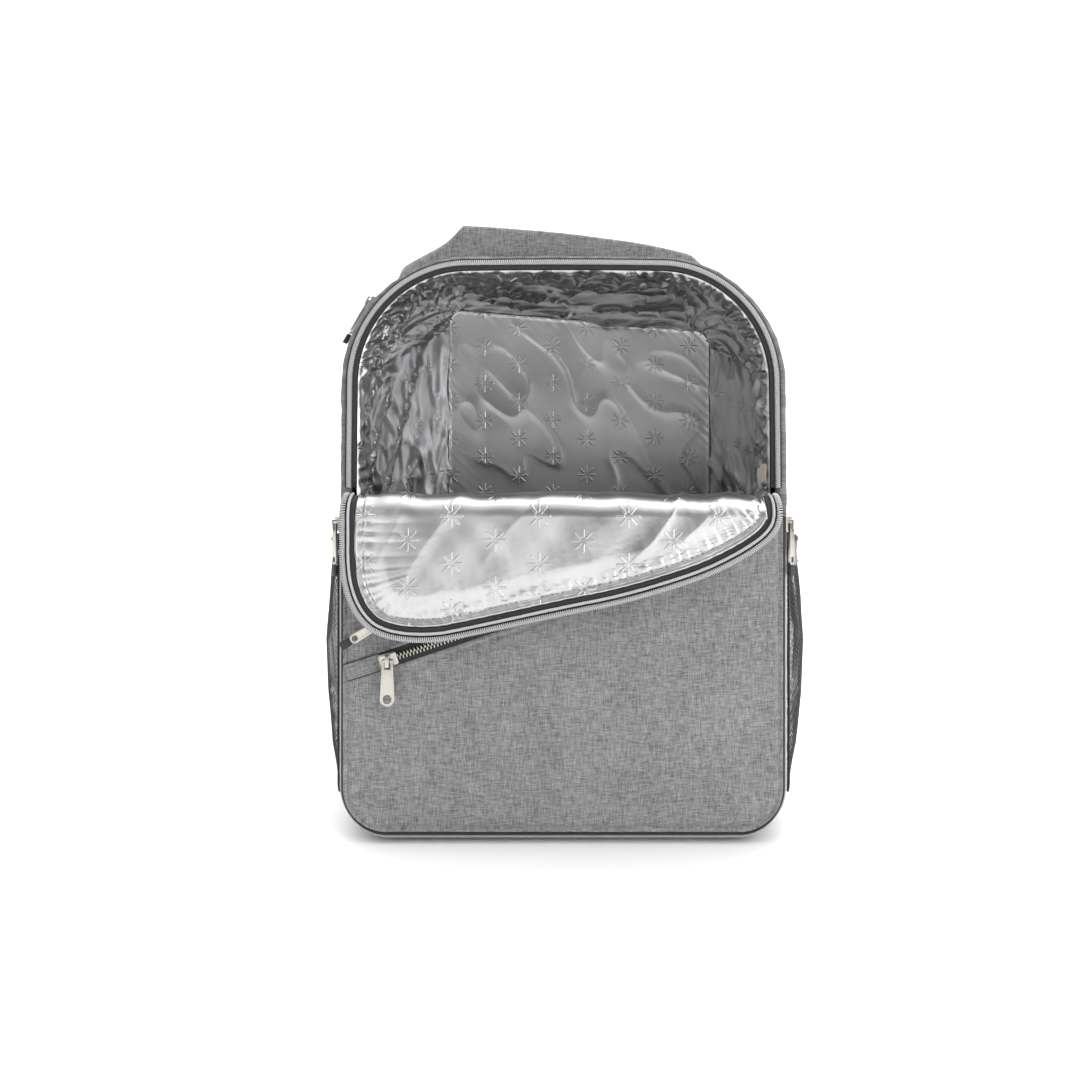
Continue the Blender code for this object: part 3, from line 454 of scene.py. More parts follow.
def nickel_plate():
    """Nickel-plated zinc, die-cast and tumbled: warm grey with soft scuffs."""
    return plain_finish("nickel_plate", colours().nickel, 0.3, 1.0, 0.35, 0.03, 0.18)


def soft_moulding():
    """Moulded black PVC with a satin spark-eroded grain."""
    return plain_finish("soft_moulding", colours().moulding, 0.55, 0.0, 0.4, 0.05, 0.15)


def satin_label():
    """Woven satin label, cream, with a soft lustre."""
    return yarn_finish("satin_label", colours().label, 0.86, 0.5, 0.4, 0.04, 0.3)


def sewing_thread():
    """Twisted polyester sewing thread."""
    return plain_finish("sewing_thread", colours().thread, 0.7, 0.0, 0.4, 0.06, 0.12)


FINISHES = {
    "heather_fabric": heather_polyester,
    "foil": foil_film,
    "trim": trim_cord,
    "zip_tape": woven_tape,
    "zip_coil": nylon_coil,
    "nickel": nickel_plate,
    "black_moulding": soft_moulding,
    "net": net_yarn,
    "label": satin_label,
    "thread": sewing_thread,
}
READY = {}


def finish(slot):
    if slot not in READY:
        READY[slot] = FINISHES[slot]()
    return READY[slot]


# Shapes


def eased(x):
    x = np.clip(x, 0.0, 1.0)
    return x * x * (3 - 2 * x)


def hump(distance, width):
    """A smooth ridge of height 1 around distance 0."""
    return math.exp(-((distance / width) ** 2))


def ripple(u, v, wide, long, seed):
    """Soft noise from -1 to 1 with its own scale along and across."""
    return noise.noise((u / wide, v / long, seed))


def crease(u, v, wide, long, seed, sharp=3.0):
    """A sharp fold, 0 to 1, that wanders where a noise field crosses zero."""
    warp = 0.7 * noise.noise((u / (2 * wide), v / (2 * long), seed + 7.7))
    level = noise.noise((u / wide + warp, v / long, seed))
    return max(0.0, 1 - sharp * abs(level)) ** 2


def pleat(along, width, seed):
    """Uneven gathers along a seam, 0 in a valley and 1 on a rounded crest."""
    phase = along / width + 0.8 * noise.noise((along / (3 * width), seed, 0.0))
    return abs(math.sin(math.pi * phase)) ** 0.7 * (0.65 + 0.35 * noise.noise((phase, seed, 5.0)))


def show(name, mesh, slot, body="root", nodes=(), smooth=40):
    """The mesh as a finished piece that rides on a body and stands for CAD nodes."""
    made = bpy.data.objects.new(name, mesh)
    bpy.context.scene.collection.objects.link(made)
    mesh.materials.clear()
    mesh.materials.append(finish(slot))
    mesh.shade_smooth()
    if smooth:
        mesh.set_sharp_from_angle(angle=math.radians(smooth))
    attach(made, body)
    if nodes:
        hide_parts(*nodes)
    return made


def to_mesh(name, bm):
    mesh = bpy.data.meshes.new(name)
    bm.to_mesh(mesh)
    bm.free()
    return mesh


def grid(name, columns, rows, place, chart=None, reverse=False):
    """A dense grid in millimetres whose point (i, j) goes to place(i, j), with a cloth map."""
    bm = bmesh.new()
    bmesh.ops.create_grid(bm, x_segments=columns, y_segments=rows, size=1.0)
    spots = [
        (round((v.co.x + 1) / 2 * columns), round((v.co.y + 1) / 2 * rows)) for v in bm.verts
    ]
    points = [place(i, j) for i, j in spots]
    layer = bm.loops.layers.uv.new("cloth")
    for face in bm.faces:
        for loop in face.loops:
            index = loop.vert.index
            if chart:
                loop[layer].uv = chart(*spots[index])
            else:
                point = points[index]
                loop[layer].uv = (point[0], point[2] - point[1])
    for vert, point in zip(bm.verts, points):
        vert.co = Vector(point) * MM
    bmesh.ops.remove_doubles(bm, verts=bm.verts, dist=0.01 * MM)
    if reverse:
        bmesh.ops.reverse_faces(bm, faces=bm.faces)
    return to_mesh(name, bm)


def cord(name, slot, points, outwards, radius, sides=8, nodes=(), **form):
    """A tube as a finished piece."""
    return show(name, tube(name, points, outwards, radius, sides, **form), slot, nodes=nodes)


def patch(name, slot, columns, rows, place, chart=None, reverse=False, **shown):
    """A grid as a finished piece."""
    return show(name, grid(name, columns, rows, place, chart, reverse), slot, **shown)


def thicken(made, thickness):
    solid = made.modifiers.new("thickness", "SOLIDIFY")
    solid.thickness = thickness * MM
    return made


def soften(made, levels=1):
    smooth = made.modifiers.new("smooth", "SUBSURF")
    smooth.levels = smooth.render_levels = levels
    return made


def outline(half, low, high, low_radius, top_radius, crown=0.0, taper=0.0, fine=10):
    """A closed loop of (x, z), from the base's middle round the right side and over the top."""

    def line(start, end, parts):
        return np.linspace(start, end, parts * fine, endpoint=False)

    def arc(x, z, radius, first, parts):
        turn = np.radians(np.linspace(first, first + 90, parts * fine, endpoint=False))
        return np.stack([x + radius * np.cos(turn), z + radius * np.sin(turn)], 1)

    shoulder = high - top_radius
    right = np.concatenate(
        [
            line((0, low), (half - low_radius, low), 2),
            arc(half - low_radius, low + low_radius, low_radius, -90, 6),
            line((half, low + low_radius), (half, SPLIT), 3),
            line((half, SPLIT), (half, shoulder), 2),
            arc(half - top_radius, shoulder, top_radius, 0, 8),
            line((half - top_radius, high), (0, high), 2),
            [(0, high)],
        ]
    )
    x, z = right.T
    rise = np.clip(z - shoulder, 0, None) / top_radius
    width = 1 - taper * eased((z - SPLIT) / (high - SPLIT))
    right = np.stack([x * width, z + crown * rise * (1 - (x / half) ** 2)], 1)
    return np.concatenate([right, right[-2:0:-1] * (-1, 1)])


def seam_line(fine=10):
    """The seam of the panels, its outward normals, and its length so far at each point."""
    loop = outline(
        SEAM_HALF, SEAM_LOW, SEAM_HIGH, LOW_RADIUS, TOP_RADIUS, TOP_CROWN, TOP_TAPER, fine
    )
    tangent = np.roll(loop, -1, 0) - np.roll(loop, 1, 0)
    tangent /= np.linalg.norm(tangent, axis=1)[:, None]
    normal = np.stack([tangent[:, 1], -tangent[:, 0]], 1)
    steps = np.linalg.norm(np.roll(loop, -1, 0) - loop, axis=1)
    length = np.concatenate([[0], np.cumsum(steps)])
    return loop, normal, length


def band_puff(share, normal):
    """How far the side band stands out of the seam line, by the way it faces."""
    side, base, top = (np.interp(share, BAND_PUFF[:, 0], BAND_PUFF[:, c]) for c in (1, 2, 3))
    lift = top if normal[1] > 0 else base
    return side * normal[0] ** 2 + lift * normal[1] ** 2


def half_width(z, grow=0.0):
    """Half the width of the front panel's outline at a height."""
    radius = LOW_RADIUS + grow
    below = SEAM_LOW - grow + radius - z
    if below <= 0:
        return SEAM_HALF + grow
    return SEAM_HALF + grow - radius + math.sqrt(max(radius**2 - below**2, 0.0))


def path_length(points):
    steps = np.linalg.norm(np.diff(points, axis=0), axis=1)
    return np.concatenate([[0], np.cumsum(steps)])


def rim_path(points, step=1.2):
    """Points spaced evenly along a polyline whose corners are cut twice first."""
    points = np.array(points, float)
    for _ in range(2):
        first = points[:-1] * 0.75 + points[1:] * 0.25
        second = points[:-1] * 0.25 + points[1:] * 0.75
        cut = np.stack([first, second], 1).reshape(-1, points.shape[1])
        points = np.concatenate([points[:1], cut, points[-1:]])
    length = path_length(points)
    at = np.linspace(0, length[-1], max(2, round(length[-1] / step)))
    return np.stack([np.interp(at, length, column) for column in points.T], 1)


def tube(name, points, outwards, radius, sides=10, closed=False, wobble=0.0, flat=1.0):
    """A round cord along points in millimetres, given the way out at each point."""
    points = np.array(points, float)
    count = len(points)
    ahead = np.roll(points, -1, 0) if closed else np.concatenate([points[1:], points[-1:]])
    behind = np.roll(points, 1, 0) if closed else np.concatenate([points[:1], points[:-1]])
    tangent = ahead - behind
    tangent /= np.linalg.norm(tangent, axis=1)[:, None]
    out = np.array(outwards, float) * np.ones_like(points)
    out -= tangent * (out * tangent).sum(1)[:, None]
    out /= np.linalg.norm(out, axis=1)[:, None]
    side = np.cross(tangent, out)
    steps = np.linalg.norm(ahead - points, axis=1)
    length = np.concatenate([[0], np.cumsum(steps)])

    def place(i, j):
        turn = 2 * math.pi * (i % sides) / sides
        at = j % count
        wide = radius * (1 + wobble * noise.noise((length[at] / 5, turn, 3.0)))
        return points[at] + out[at] * math.cos(turn) * wide * flat + side[at] * math.sin(turn) * wide

    def chart(i, j):
        return (2 * math.pi * radius * i / sides, length[min(j, len(length) - 1)])

    mesh = grid(name, sides, count if closed else count - 1, place, chart)
    if closed:
        return mesh
    bm = bmesh.new()
    bm.from_mesh(mesh)
    rim = [edge for edge in bm.edges if edge.is_boundary]
    bmesh.ops.holes_fill(bm, edges=rim, sides=0)
    bmesh.ops.recalc_face_normals(bm, faces=bm.faces)
    bm.to_mesh(mesh)
    bm.free()
    return mesh


def ribbon(name, points, inwards, outwards, start, width, low, thick, columns, sag):
    """A flat tape along points: from start across by width, its underside at low off the surface."""
    length = path_length(points)

    def place(i, j):
        across = start + width * i / columns
        return points[j] + inwards[j] * across + outwards[j] * (low + thick + sag(across, length[j]))

    def chart(i, j):
        return (width * i / columns, length[j])

    facing = np.cross(inwards[0], points[1] - points[0]) @ outwards[0]
    return grid(name, columns, len(points) - 1, place, chart, reverse=facing < 0)


def coil_path(points, inwards, outwards, start, width, low, height, pitch, steps=9):
    """The helix of a zip coil that lies flat along a path."""
    length = path_length(points)
    turns = int(length[-1] / pitch)
    at = np.linspace(0, length[-1], turns * steps)
    turn = np.linspace(0, turns * 2 * math.pi, turns * steps)

    def read(values):
        return np.stack([np.interp(at, length, column) for column in np.array(values).T], 1)

    middle, across, up = read(points), read(inwards), read(outwards)
    run = (start + width / 2 + width / 2 * np.cos(turn))[:, None]
    lift = (low + height / 2 + height / 2 * np.sin(turn))[:, None]
    return middle + across * run + up * lift


def copies(name, unit, places):
    """One mesh of many copies of a small unit mesh, each at a matrix."""
    bm = bmesh.new()
    for place in places:
        one = unit.copy()
        one.transform(place)
        bm.from_mesh(one)
        bpy.data.meshes.remove(one)
    return to_mesh(name, bm)


def seat_matrix(point, along, up, scale=(1, 1, 1)):
    """Local X along, Z up, at a point in millimetres."""
    x = Vector(along).normalized()
    z = Vector(up)
    z = (z - x * z.dot(x)).normalized()
    y = z.cross(x)
    turned = Matrix((x, y, z)).transposed().to_4x4()
    return Matrix.Translation(Vector(point) * MM) @ turned @ Matrix.Diagonal((*scale, 1))


def stitches(name, points, outwards, gap=1.1, thick=0.32, lift=0.2):
    """A row of short stitches along a path."""
    long = size("stitch")
    points = np.array(points, float)
    outwards = np.array(outwards, float) * np.ones_like(points)
    length = path_length(points)
    unit = bmesh.new()
    bmesh.ops.create_uvsphere(unit, u_segments=6, v_segments=4, radius=1.0)
    upright = Matrix.Rotation(math.pi / 2, 3, "Y")
    bmesh.ops.rotate(unit, verts=unit.verts, cent=(0, 0, 0), matrix=upright)
    bmesh.ops.scale(unit, verts=unit.verts, vec=Vector((long / 2, thick, thick)) * MM)
    unit = to_mesh(name + "_one", unit)
    places = []
    for step in range(int(length[-1] / (long + gap))):
        middle = (step + 0.5) * (long + gap)

        def read(values, at):
            return np.array([np.interp(at, length, column) for column in values.T])

        start, end = read(points, middle - long / 2), read(points, middle + long / 2)
        up = read(outwards, middle)
        places.append(seat_matrix((start + end) / 2 + up * lift, end - start, up))
    return show(name, copies(name, unit, places), "thread", smooth=0)


def merged(node):
    """A copy of a CAD node's mesh with its loose triangles merged and joined to quads."""
    bm = bmesh.new()
    bm.from_mesh(frame["nodes"][node].data)
    bmesh.ops.remove_doubles(bm, verts=bm.verts, dist=1e-6)
    bmesh.ops.join_triangles(
        bm, faces=bm.faces, angle_face_threshold=math.radians(40), angle_shape_threshold=math.radians(50)
    )
    return bm


def dress(bm, chart=lambda point: (point.x, point.z - point.y)):
    """Gives a mesh its cloth map in millimetres from a chart of each point."""
    layer = bm.loops.layers.uv.get("cloth") or bm.loops.layers.uv.new("cloth")
    for face in bm.faces:
        for loop in face.loops:
            loop[layer].uv = chart(loop.vert.co / MM)
    return bm


def swell(name, bm, voxel, pressure, cap, steps=18):
    """Cloth simulation that puffs a padded piece, each point held within a cap of where it was."""
    source = to_mesh(name + "_pad", bm)
    made = bpy.data.objects.new(name + "_pad", source)
    bpy.context.scene.collection.objects.link(made)
    remesh = made.modifiers.new("remesh", "REMESH")
    remesh.mode = "VOXEL"
    remesh.voxel_size = voxel * MM
    graph = bpy.context.evaluated_depsgraph_get()
    mesh = bpy.data.meshes.new_from_object(made.evaluated_get(graph))
    made.modifiers.clear()
    made.data = mesh
    rest = np.array([v.co for v in mesh.vertices])
    cloth = made.modifiers.new("cloth", "CLOTH")
    cloth.settings.use_pressure = True
    cloth.settings.uniform_pressure_force = pressure
    cloth.settings.effector_weights.gravity = 0.0
    cloth.settings.quality = 5
    cloth.point_cache.frame_start = 1
    cloth.point_cache.frame_end = steps
    scene = bpy.context.scene
    for at in range(1, steps + 1):
        scene.frame_set(at)
    graph = bpy.context.evaluated_depsgraph_get()
    moved = bpy.data.meshes.new_from_object(made.evaluated_get(graph))
    places = np.array([v.co for v in moved.vertices])
    shift = places - rest
    far = np.linalg.norm(shift, axis=1)[:, None]
    shift *= np.minimum(1.0, cap * MM / np.maximum(far, 1e-9))
    made.modifiers.clear()
    mesh.vertices.foreach_set("co", (rest + shift).astype(np.float32).ravel())
    scene.frame_set(1)
    bm = bmesh.new()
    bm.from_mesh(mesh)
    for _ in range(4):
        bmesh.ops.smooth_vert(
            bm, verts=bm.verts, factor=0.5, use_axis_x=True, use_axis_y=True, use_axis_z=True
        )
    bpy.data.objects.remove(made)
    return bm


# The shell


def build_band():
    """The padded side band, one ring round the bag, with puckers along both seams."""
    loop, normal, length = seam_line(12)
    count, rows = len(loop), 46
    shares = [float(eased(j / rows)) * 0.5 + j / rows * 0.5 for j in range(rows + 1)]
    heights = [float(band_puff(share, (1.0, 0.0))) for share in shares]
    profile = path_length(np.stack([np.array(shares) * BAND_DEPTH, heights], 1))

    def place(i, j):
        at, share = i % count, shares[j]
        n = normal[at]
        y = BAND_FRONT + share * BAND_DEPTH
        off = band_puff(share, n)
        edge = min(share, 1 - share) * BAND_DEPTH
        run = length[at]
        off -= 0.9 * hump(edge - 5, 2.0)  # the seam draws the cloth in
        off += 1.0 * math.exp(-edge / 14) * ripple(run, y, 9, 60, 2.0) * min(1, edge / 2)
        middle = min(1.0, edge / 15)
        soft = 1.1 * ripple(run, y, 70, 45, 4.0) + 0.9 * crease(run, y, 60, 38, 9.0, 4.0)
        off += middle * (soft - 0.3)
        if n[1] < -0.7:
            off = min(off, 9.0)
        x, z = loop[at] + n * off
        return (x, y, max(z, 0.0))

    def chart(i, j):
        return (length[i], profile[j])

    nodes = ("gusset_lower", "gusset_upper")
    made = patch("side_band", "heather_fabric", count, rows, place, chart, reverse=True, nodes=nodes)
    thicken(made, BAND_WALL - 0.5)


def build_panels():
    """The padded panels: the front one under its pocket, and the back one with sewn channels."""
    bm = merged("front_panel")
    mesh = to_mesh("front_pad", dress(bm))
    made = show("front_pad", mesh, "heather_fabric", nodes=("front_panel",))
    columns, rows = 150, 190
    high = SEAM_HIGH + TOP_CROWN

    loop, _, _ = seam_line(12)
    right = loop[: len(loop) // 2 + 1]

    def top_half(z):
        return float(np.interp(z, right[:, 1], right[:, 0])) if z > SEAM_LOW + 1 else half_width(z)

    def place(i, j):
        z = SEAM_LOW + (high - SEAM_LOW) * j / rows
        share = 2 * i / columns - 1
        half = top_half(z)
        x = half * share
        rim = min(half * (1 - abs(share)), z - SEAM_LOW, high - z)
        puff = 5.4 * eased(rim / 16) ** 0.6
        puff -= 1.6 * hump(abs(x) - 46, 2.2) * eased((rim - 8) / 20)
        puff -= 1.2 * hump(z - 128, 2.2) * eased((rim - 8) / 20)
        puff += 0.8 * ripple(x, z, 40, 30, 12.0) * eased(rim / 10)
        puff += 0.6 * math.exp(-rim / 12) * ripple(x + z, x - z, 8, 8, 5.0) * min(1, rim / 2)
        return (x, -PANEL_BACK + max(puff, 0.0), z)

    nodes = ("back_panel",)
    made = patch("back_pad", "heather_fabric", columns, rows, place, reverse=True, nodes=nodes)
    thicken(made, 1.5)


def build_piping():
    """The corded seams in front and behind, each beside a turned edge of cloth."""
    loop, normal, _ = seam_line(12)
    away = BACK_CORD + GAP
    ring = [(*(loop[k] + normal[k] * away), -BAND_FRONT + away) for k in range(len(loop))]
    ring = np.array(ring)[:, [0, 2, 1]]
    out = [(n[0], 0.7, n[1]) for n in normal]
    cord("cord_back", "trim", ring, out, BACK_CORD, 10, ("piping_back",), closed=True, wobble=0.08)
    order = list(range(len(loop) - FRONT_CORD_END, len(loop))) + list(range(FRONT_CORD_END + 1))
    # along the base the front cord hangs lower, and a thin black cord between it and the pocket is painted
    # shade in the groove there
    sunk = CORD_DROP * np.minimum(normal[:, 1], 0.0) ** 2
    front = [(ring[k][0], -ring[k][1], ring[k][2] - sunk[k]) for k in order]
    out = [(normal[k][0], -0.7, normal[k][1]) for k in order]
    cord("cord_front", "trim", front, out, FRONT_CORD, 10, ("piping_front",), wobble=0.08)
    # painted shade: a black cord in the groove along the front seam, lowered by half the cord's drop
    seam = loop + normal * 0.2
    seam = [(seam[k][0], FRONT - 1.0, seam[k][1] - 0.5 * sunk[k]) for k in order]
    cord("groove_shadow_front", "zip_tape", seam, out, 0.9)
    for name, side in (("welt_front", -1), ("welt_back", 1)):
        keys = order if side < 0 else list(range(len(loop))) + [0]
        edge = loop - normal * 1.6
        points = [(edge[k][0], side * -(FRONT + 1.4), edge[k][1]) for k in keys]
        out = [(normal[k][0] * 0.3, side, normal[k][1] * 0.3) for k in keys]
        cord(name, "heather_fabric", points, out, 1.7, wobble=0.1, flat=0.8)


# The front pocket and its zips


def pocket_y(x, z):
    across = 1 - min(1.0, abs(x) / SEAM_HALF) ** 4
    middle = (SEAM_LOW + SPLIT) / 2
    up = 1 - min(1.0, abs(z - middle) / (SPLIT - middle)) ** 4
    return FRONT - SKIN - GAP - POCKET_PUFF * across * up


def zip_axis(name):
    start, long, slope, tape = POCKET_ZIPS[name]
    turn = math.radians(slope)
    along = np.array((math.cos(turn), math.sin(turn)))
    return np.array(start), along, np.array((-along[1], along[0])), long, tape


def from_zip(name, x, z):
    """How far a point lies along a pocket zip and off its middle."""
    start, along, up, long, tape = zip_axis(name)
    off = np.array((x, z)) - start
    return float(off @ along), float(off @ up), long, tape


def build_front_pocket():
    """The pocket's skin: lips and topstitching along its zips, and a turned edge by the piping."""
    columns, rows = 290, 210
    low = SEAM_LOW + 0.2

    def place(i, j):
        z = low + (SPLIT - low) * (j / rows)
        half = half_width(z) - 0.2
        share = 2 * i / columns - 1
        x = half * share
        rim = min(half * (1 - abs(share)), z - low)
        out = 0.0
        for name in POCKET_ZIPS:
            along, off, long, tape = from_zip(name, x, z)
            held = eased((along + 1.0) / 2) * eased((long + 30 - along) / 12)
            edge = abs(off) - tape / 2
            out += held * (1.15 * hump(edge - 1.3, 1.6) - 0.55 * hump(edge - 4.2, 0.8))
            out += held * 0.45 * hump(edge - 6, 4.0) * ripple(along, off, 11, 60, 3.0)
        wide = min(1.0, rim / 20)
        out += wide * (0.55 * ripple(x, z, 46, 30, 1.5) + 0.4 * ripple(x + z, z - x, 24, 60, 6.5))
        out += 0.6 * math.exp(-rim / 9) * ripple(x + z, z - x, 7, 7, 8.0) * min(1.0, rim / 2)
        out -= 1.1 * hump(rim - 3.4, 1.0)
        out += 0.4 * hump(rim - 7.5, 2.4)
        return (x, pocket_y(x, z) - out, z)

    nodes = ("front_pocket",)
    made = patch("pocket_skin", "heather_fabric", columns, rows, place, nodes=nodes, smooth=0)


def pocket_path(places, up):
    """Points on the pocket, and the directions across and out of it, for a tape."""
    points = np.array([(x, pocket_y(x, z), z) for x, z in places])
    return points, np.tile((up[0], 0, up[1]), (len(points), 1)), np.tile((0, -1.0, 0), (len(points), 1))


def build_zip_tab():
    """The folded tab of cloth between the front seam and the pocket zip's left end."""
    start, along, up, _, tape = zip_axis("pocket")
    path = pocket_path([start - along * at for at in np.linspace(26.0, -1.5, 40)], up)

    def sag(across, run):
        edge = tape / 2 - abs(across)
        sewn = 0.5 * hump(edge, 0.5) + 0.35 * hump(edge - 2.2, 0.5)
        return 0.25 * noise.noise((run / 7, across / 4, 6.0)) - sewn

    mesh = ribbon("zip_tab", *path, -tape / 2, tape, GAP, 1.3, 32, sag)
    made = thicken(show("zip_tab", mesh, "heather_fabric"), 1.2)
    # painted shade: a thin black cord along each edge of the tab stands for the shade in the fold there
    for side in (-1, 1):
        edge = path[0] + path[1] * side * (tape / 2 + 0.1) + path[2] * 1.2
        cord(f"zip_tab_fold_shadow_{side + 1}", "zip_tape", edge, (0, -1, 0), 0.4, 6)


def zip_tooth(long, wide, tall):
    """One moulded tooth: a bevelled head on a narrower neck."""
    bm = bmesh.new()
    bmesh.ops.create_cube(bm, size=1.0)
    for vert in bm.verts:
        slim = 1.0 if vert.co.x > 0 else 0.72
        vert.co = Vector((vert.co.x * long, vert.co.y * wide * slim, vert.co.z * tall)) * MM
    bmesh.ops.bevel(
        bm,
        geom=bm.edges[:],
        offset=0.28 * MM,
        segments=1,
        profile=0.5,
        affect="EDGES",
        material=-1,
    )
    return to_mesh("tooth", bm)


def build_pocket_zips():
    """Black tapes with two rows of chunky plated teeth, and a stop at the left end."""
    for name in POCKET_ZIPS:
        start, along, up, long, tape = zip_axis(name)
        path = pocket_path([start + along * at for at in np.linspace(0, long, 90)], up)

        def sag(across, run):
            return 0.12 * math.cos(across * 2.0) + 0.15 * noise.noise((run / 9, across / 4, 0))

        mesh = ribbon(name + "_tape", *path, -tape / 2, tape, GAP, TAPE_THICK, 24, sag)
        thicken(show(name + "_tape", mesh, "zip_tape", nodes=(f"{name}_zip_tape",)), TAPE_THICK)
        pitch = size("tooth_pitch")
        tooth = zip_tooth(2.9, 1.25, 1.5)
        places = []
        ahead = Vector((along[0], 0, along[1]))
        for step in range(int(2 * (long - 3) / pitch)):
            side = 1 if step % 2 else -1
            at = 2.2 + step * pitch / 2
            x, z = start + along * at + up * side * 1.15
            point = (x, pocket_y(x, z) - 2 * GAP - TAPE_THICK - 0.85, z)
            towards = Vector((-up[0] * side, 0, -up[1] * side)) + ahead * 0.12
            places.append(seat_matrix(point, towards, (0, -1, 0)))
        mesh = copies(name + "_teeth", tooth, places)
        show(name + "_teeth", mesh, "nickel", nodes=(f"{name}_zip_teeth",), smooth=0)


# The foil lining


def build_lining():
    """The foil walls, gathered at the rim and creased along their depth."""
    fine = 18
    wide, normal, length = seam_line(fine)
    wide = wide - normal * LINING_INSET
    half, low, high, low_radius, top_radius = LINING_BACK
    narrow = outline(half, low, high, low_radius, top_radius, fine=fine)

    def fall(x, z):
        """How much lower the back's outline lies there than an even one."""
        rise = float(eased((z - SPLIT) / (high - SPLIT)))
        return LINING_FALL * rise * (x + half) / (2 * half)

    narrow = np.array([(x + LINING_SHIFT, z - fall(x, z)) for x, z in narrow])
    count, rows = len(wide), 94
    shares = [(j / rows) ** 1.25 for j in range(rows + 1)]
    depth = LINING_END - BAND_FRONT

    def place(i, j):
        at, share = i % count, shares[j]
        x, z = wide[at] * (1 - share) + narrow[at] * share
        y = BAND_FRONT + depth * share
        run, deep = length[at], depth * share
        n = normal[at]
        seam = min(deep, depth - deep)
        fade = min(1.0, seam / 6)
        inside = 0.6 * hump(deep - 1.0, 1.0)
        gather = pleat(run, 9.5, 3.0)
        ends = math.exp(-deep / 26) * min(1, deep / 3) + 0.35 * math.exp(-(depth - deep) / 9) * fade
        inside += size("hem_depth") * gather * ends
        inside -= 0.5 * hump(deep - 6.0, 1.1)
        slant = run + deep * (0.9 if x < 0 else -0.5)
        body = float(eased(deep / 22)) * fade
        near_rim = math.exp(-((deep / 34) ** 2)) * min(1.0, deep / 4)
        fold = size("fold_depth")
        inside += near_rim * 2.6 * crease(run, deep, 9, 30, 6.1, 2.4)
        inside += near_rim * 1.9 * crease(run + 1.4 * deep, deep, 12, 15, 1.9, 2.6)
        inside += body * fold * 1.8 * crease(slant, deep, 34, 70, 3.5, 3.4)
        inside += body * fold * 1.2 * ripple(slant, deep, 30, 60, 8.5)
        inside += body * fold * 0.9 * crease(run - 0.6 * deep, deep, 17, 24, 2.2, 3.2)
        return (x - n[0] * max(inside, -1.2), y, z - n[1] * max(inside, -1.2))

    def chart(i, j):
        return (length[i], BAND_FRONT + depth * shares[j])

    made = patch("foil_walls", "foil", count, rows, place, chart, nodes=("lining_wall",), smooth=0)

    columns, rows_back = 170, 250

    def half_at(z):
        if z < low + low_radius:
            return half - low_radius + math.sqrt(max(low_radius**2 - (low + low_radius - z) ** 2, 0.0))
        if z > high - top_radius:
            return half - top_radius + math.sqrt(max(top_radius**2 - (z - high + top_radius) ** 2, 0.0))
        return half

    def back(i, j):
        z = low + (high - low) * j / rows_back
        share = 2 * i / columns - 1
        x = half_at(z) * share
        rim = min(half_at(z) * (1 - abs(share)), z - low, high - z)
        full = eased(rim / 14)
        out = full * (0.9 * ripple(x, z, 44, 50, 2.5) + 0.9 * crease(x + z * 0.5, z, 40, 54, 6.0, 4.0))
        out += 0.8 * math.exp(-rim / 10) * pleat(x + z, 10.0, 1.0) * min(1, rim / 3)
        out += 0.7 * hump(rim - 1.2, 1.2)
        return (x + LINING_SHIFT, LINING_END - 0.3 - max(out, -0.4), z - fall(x, z))

    made = patch("foil_back", "foil", columns, rows_back, back, nodes=("lining_back",))
    thicken(made, FOIL_THICK)

    front_low = SEAM_LOW + 9

    def front(i, j):
        z = front_low + (SPLIT - GAP - front_low) * j / 90
        x = (half_width(z, -9.3)) * (2 * i / 120 - 1)
        out = 0.7 * ripple(x, z, 26, 30, 3.5) + 0.7 * crease(x, z, 30, 40, 1.0, 4)
        return (x, BAND_FRONT + 1.4 + max(out, 0.0), z)

    made = patch("foil_front", "foil", 120, 90, front, reverse=True, nodes=("lining_front",))
    thicken(made, FOIL_THICK)


def build_label():
    """The blank satin label sewn in at the right, its free edge curled."""
    low, high = (np.array(corner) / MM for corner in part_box("lining_tag"))

    def place(i, j):
        y = low[1] + (high[1] - low[1]) * i / 16
        z = low[2] + (high[2] - low[2]) * j / 20
        share = i / 16
        x = high[0] + (low[0] + 0.4 - high[0]) * share - 1.2 * share * math.sin(math.pi * j / 20)
        return (x - 0.5, y, z)

    def chart(i, j):
        return (i, j)

    nodes = ("lining_tag",)
    made = patch("blank_label", "label", 16, 20, place, chart, reverse=True, nodes=nodes)
    thicken(made, 0.35)


# The main zip, on the rim and on the flap


def rim_line():
    """Points, inward and outward directions along the opening's rim, from right to left."""
    loop, normal, _ = seam_line(12)
    keys = [k for k in range(len(loop)) if loop[k][1] >= RIM_END]
    points = np.array([(loop[k][0], BAND_FRONT, loop[k][1]) for k in keys])
    inwards = np.array([(-normal[k][0], 0, -normal[k][1]) for k in keys])
    outwards = np.tile((0, -1.0, 0), (len(keys), 1))
    return points, inwards, outwards


def zip_tape_piece(name, path, width, low, node, columns=12):
    """A woven tape along a path, its outer edge on it."""

    def sag(across, run):
        return 0.25 * noise.noise((run / 8, across / 5, 2.0)) + 0.1 * math.cos(across * 2.2)

    mesh = ribbon(name, *path, 0.0, width, low, TAPE_THICK, columns, sag)
    thicken(show(name, mesh, "zip_tape", nodes=(node,)), TAPE_THICK)


def zip_coil_piece(name, path, start, width, low, height, node):
    points, inwards, outwards = path
    line = coil_path(points, inwards, outwards, start, width, low, height, size("coil_pitch"))
    spread = np.linspace(0, len(points) - 1, len(line)).astype(int)
    mesh = tube(name, line, outwards[spread] + 0.01, COIL_WIRE, 5)
    show(name, mesh, "zip_coil", nodes=(node,), smooth=0)


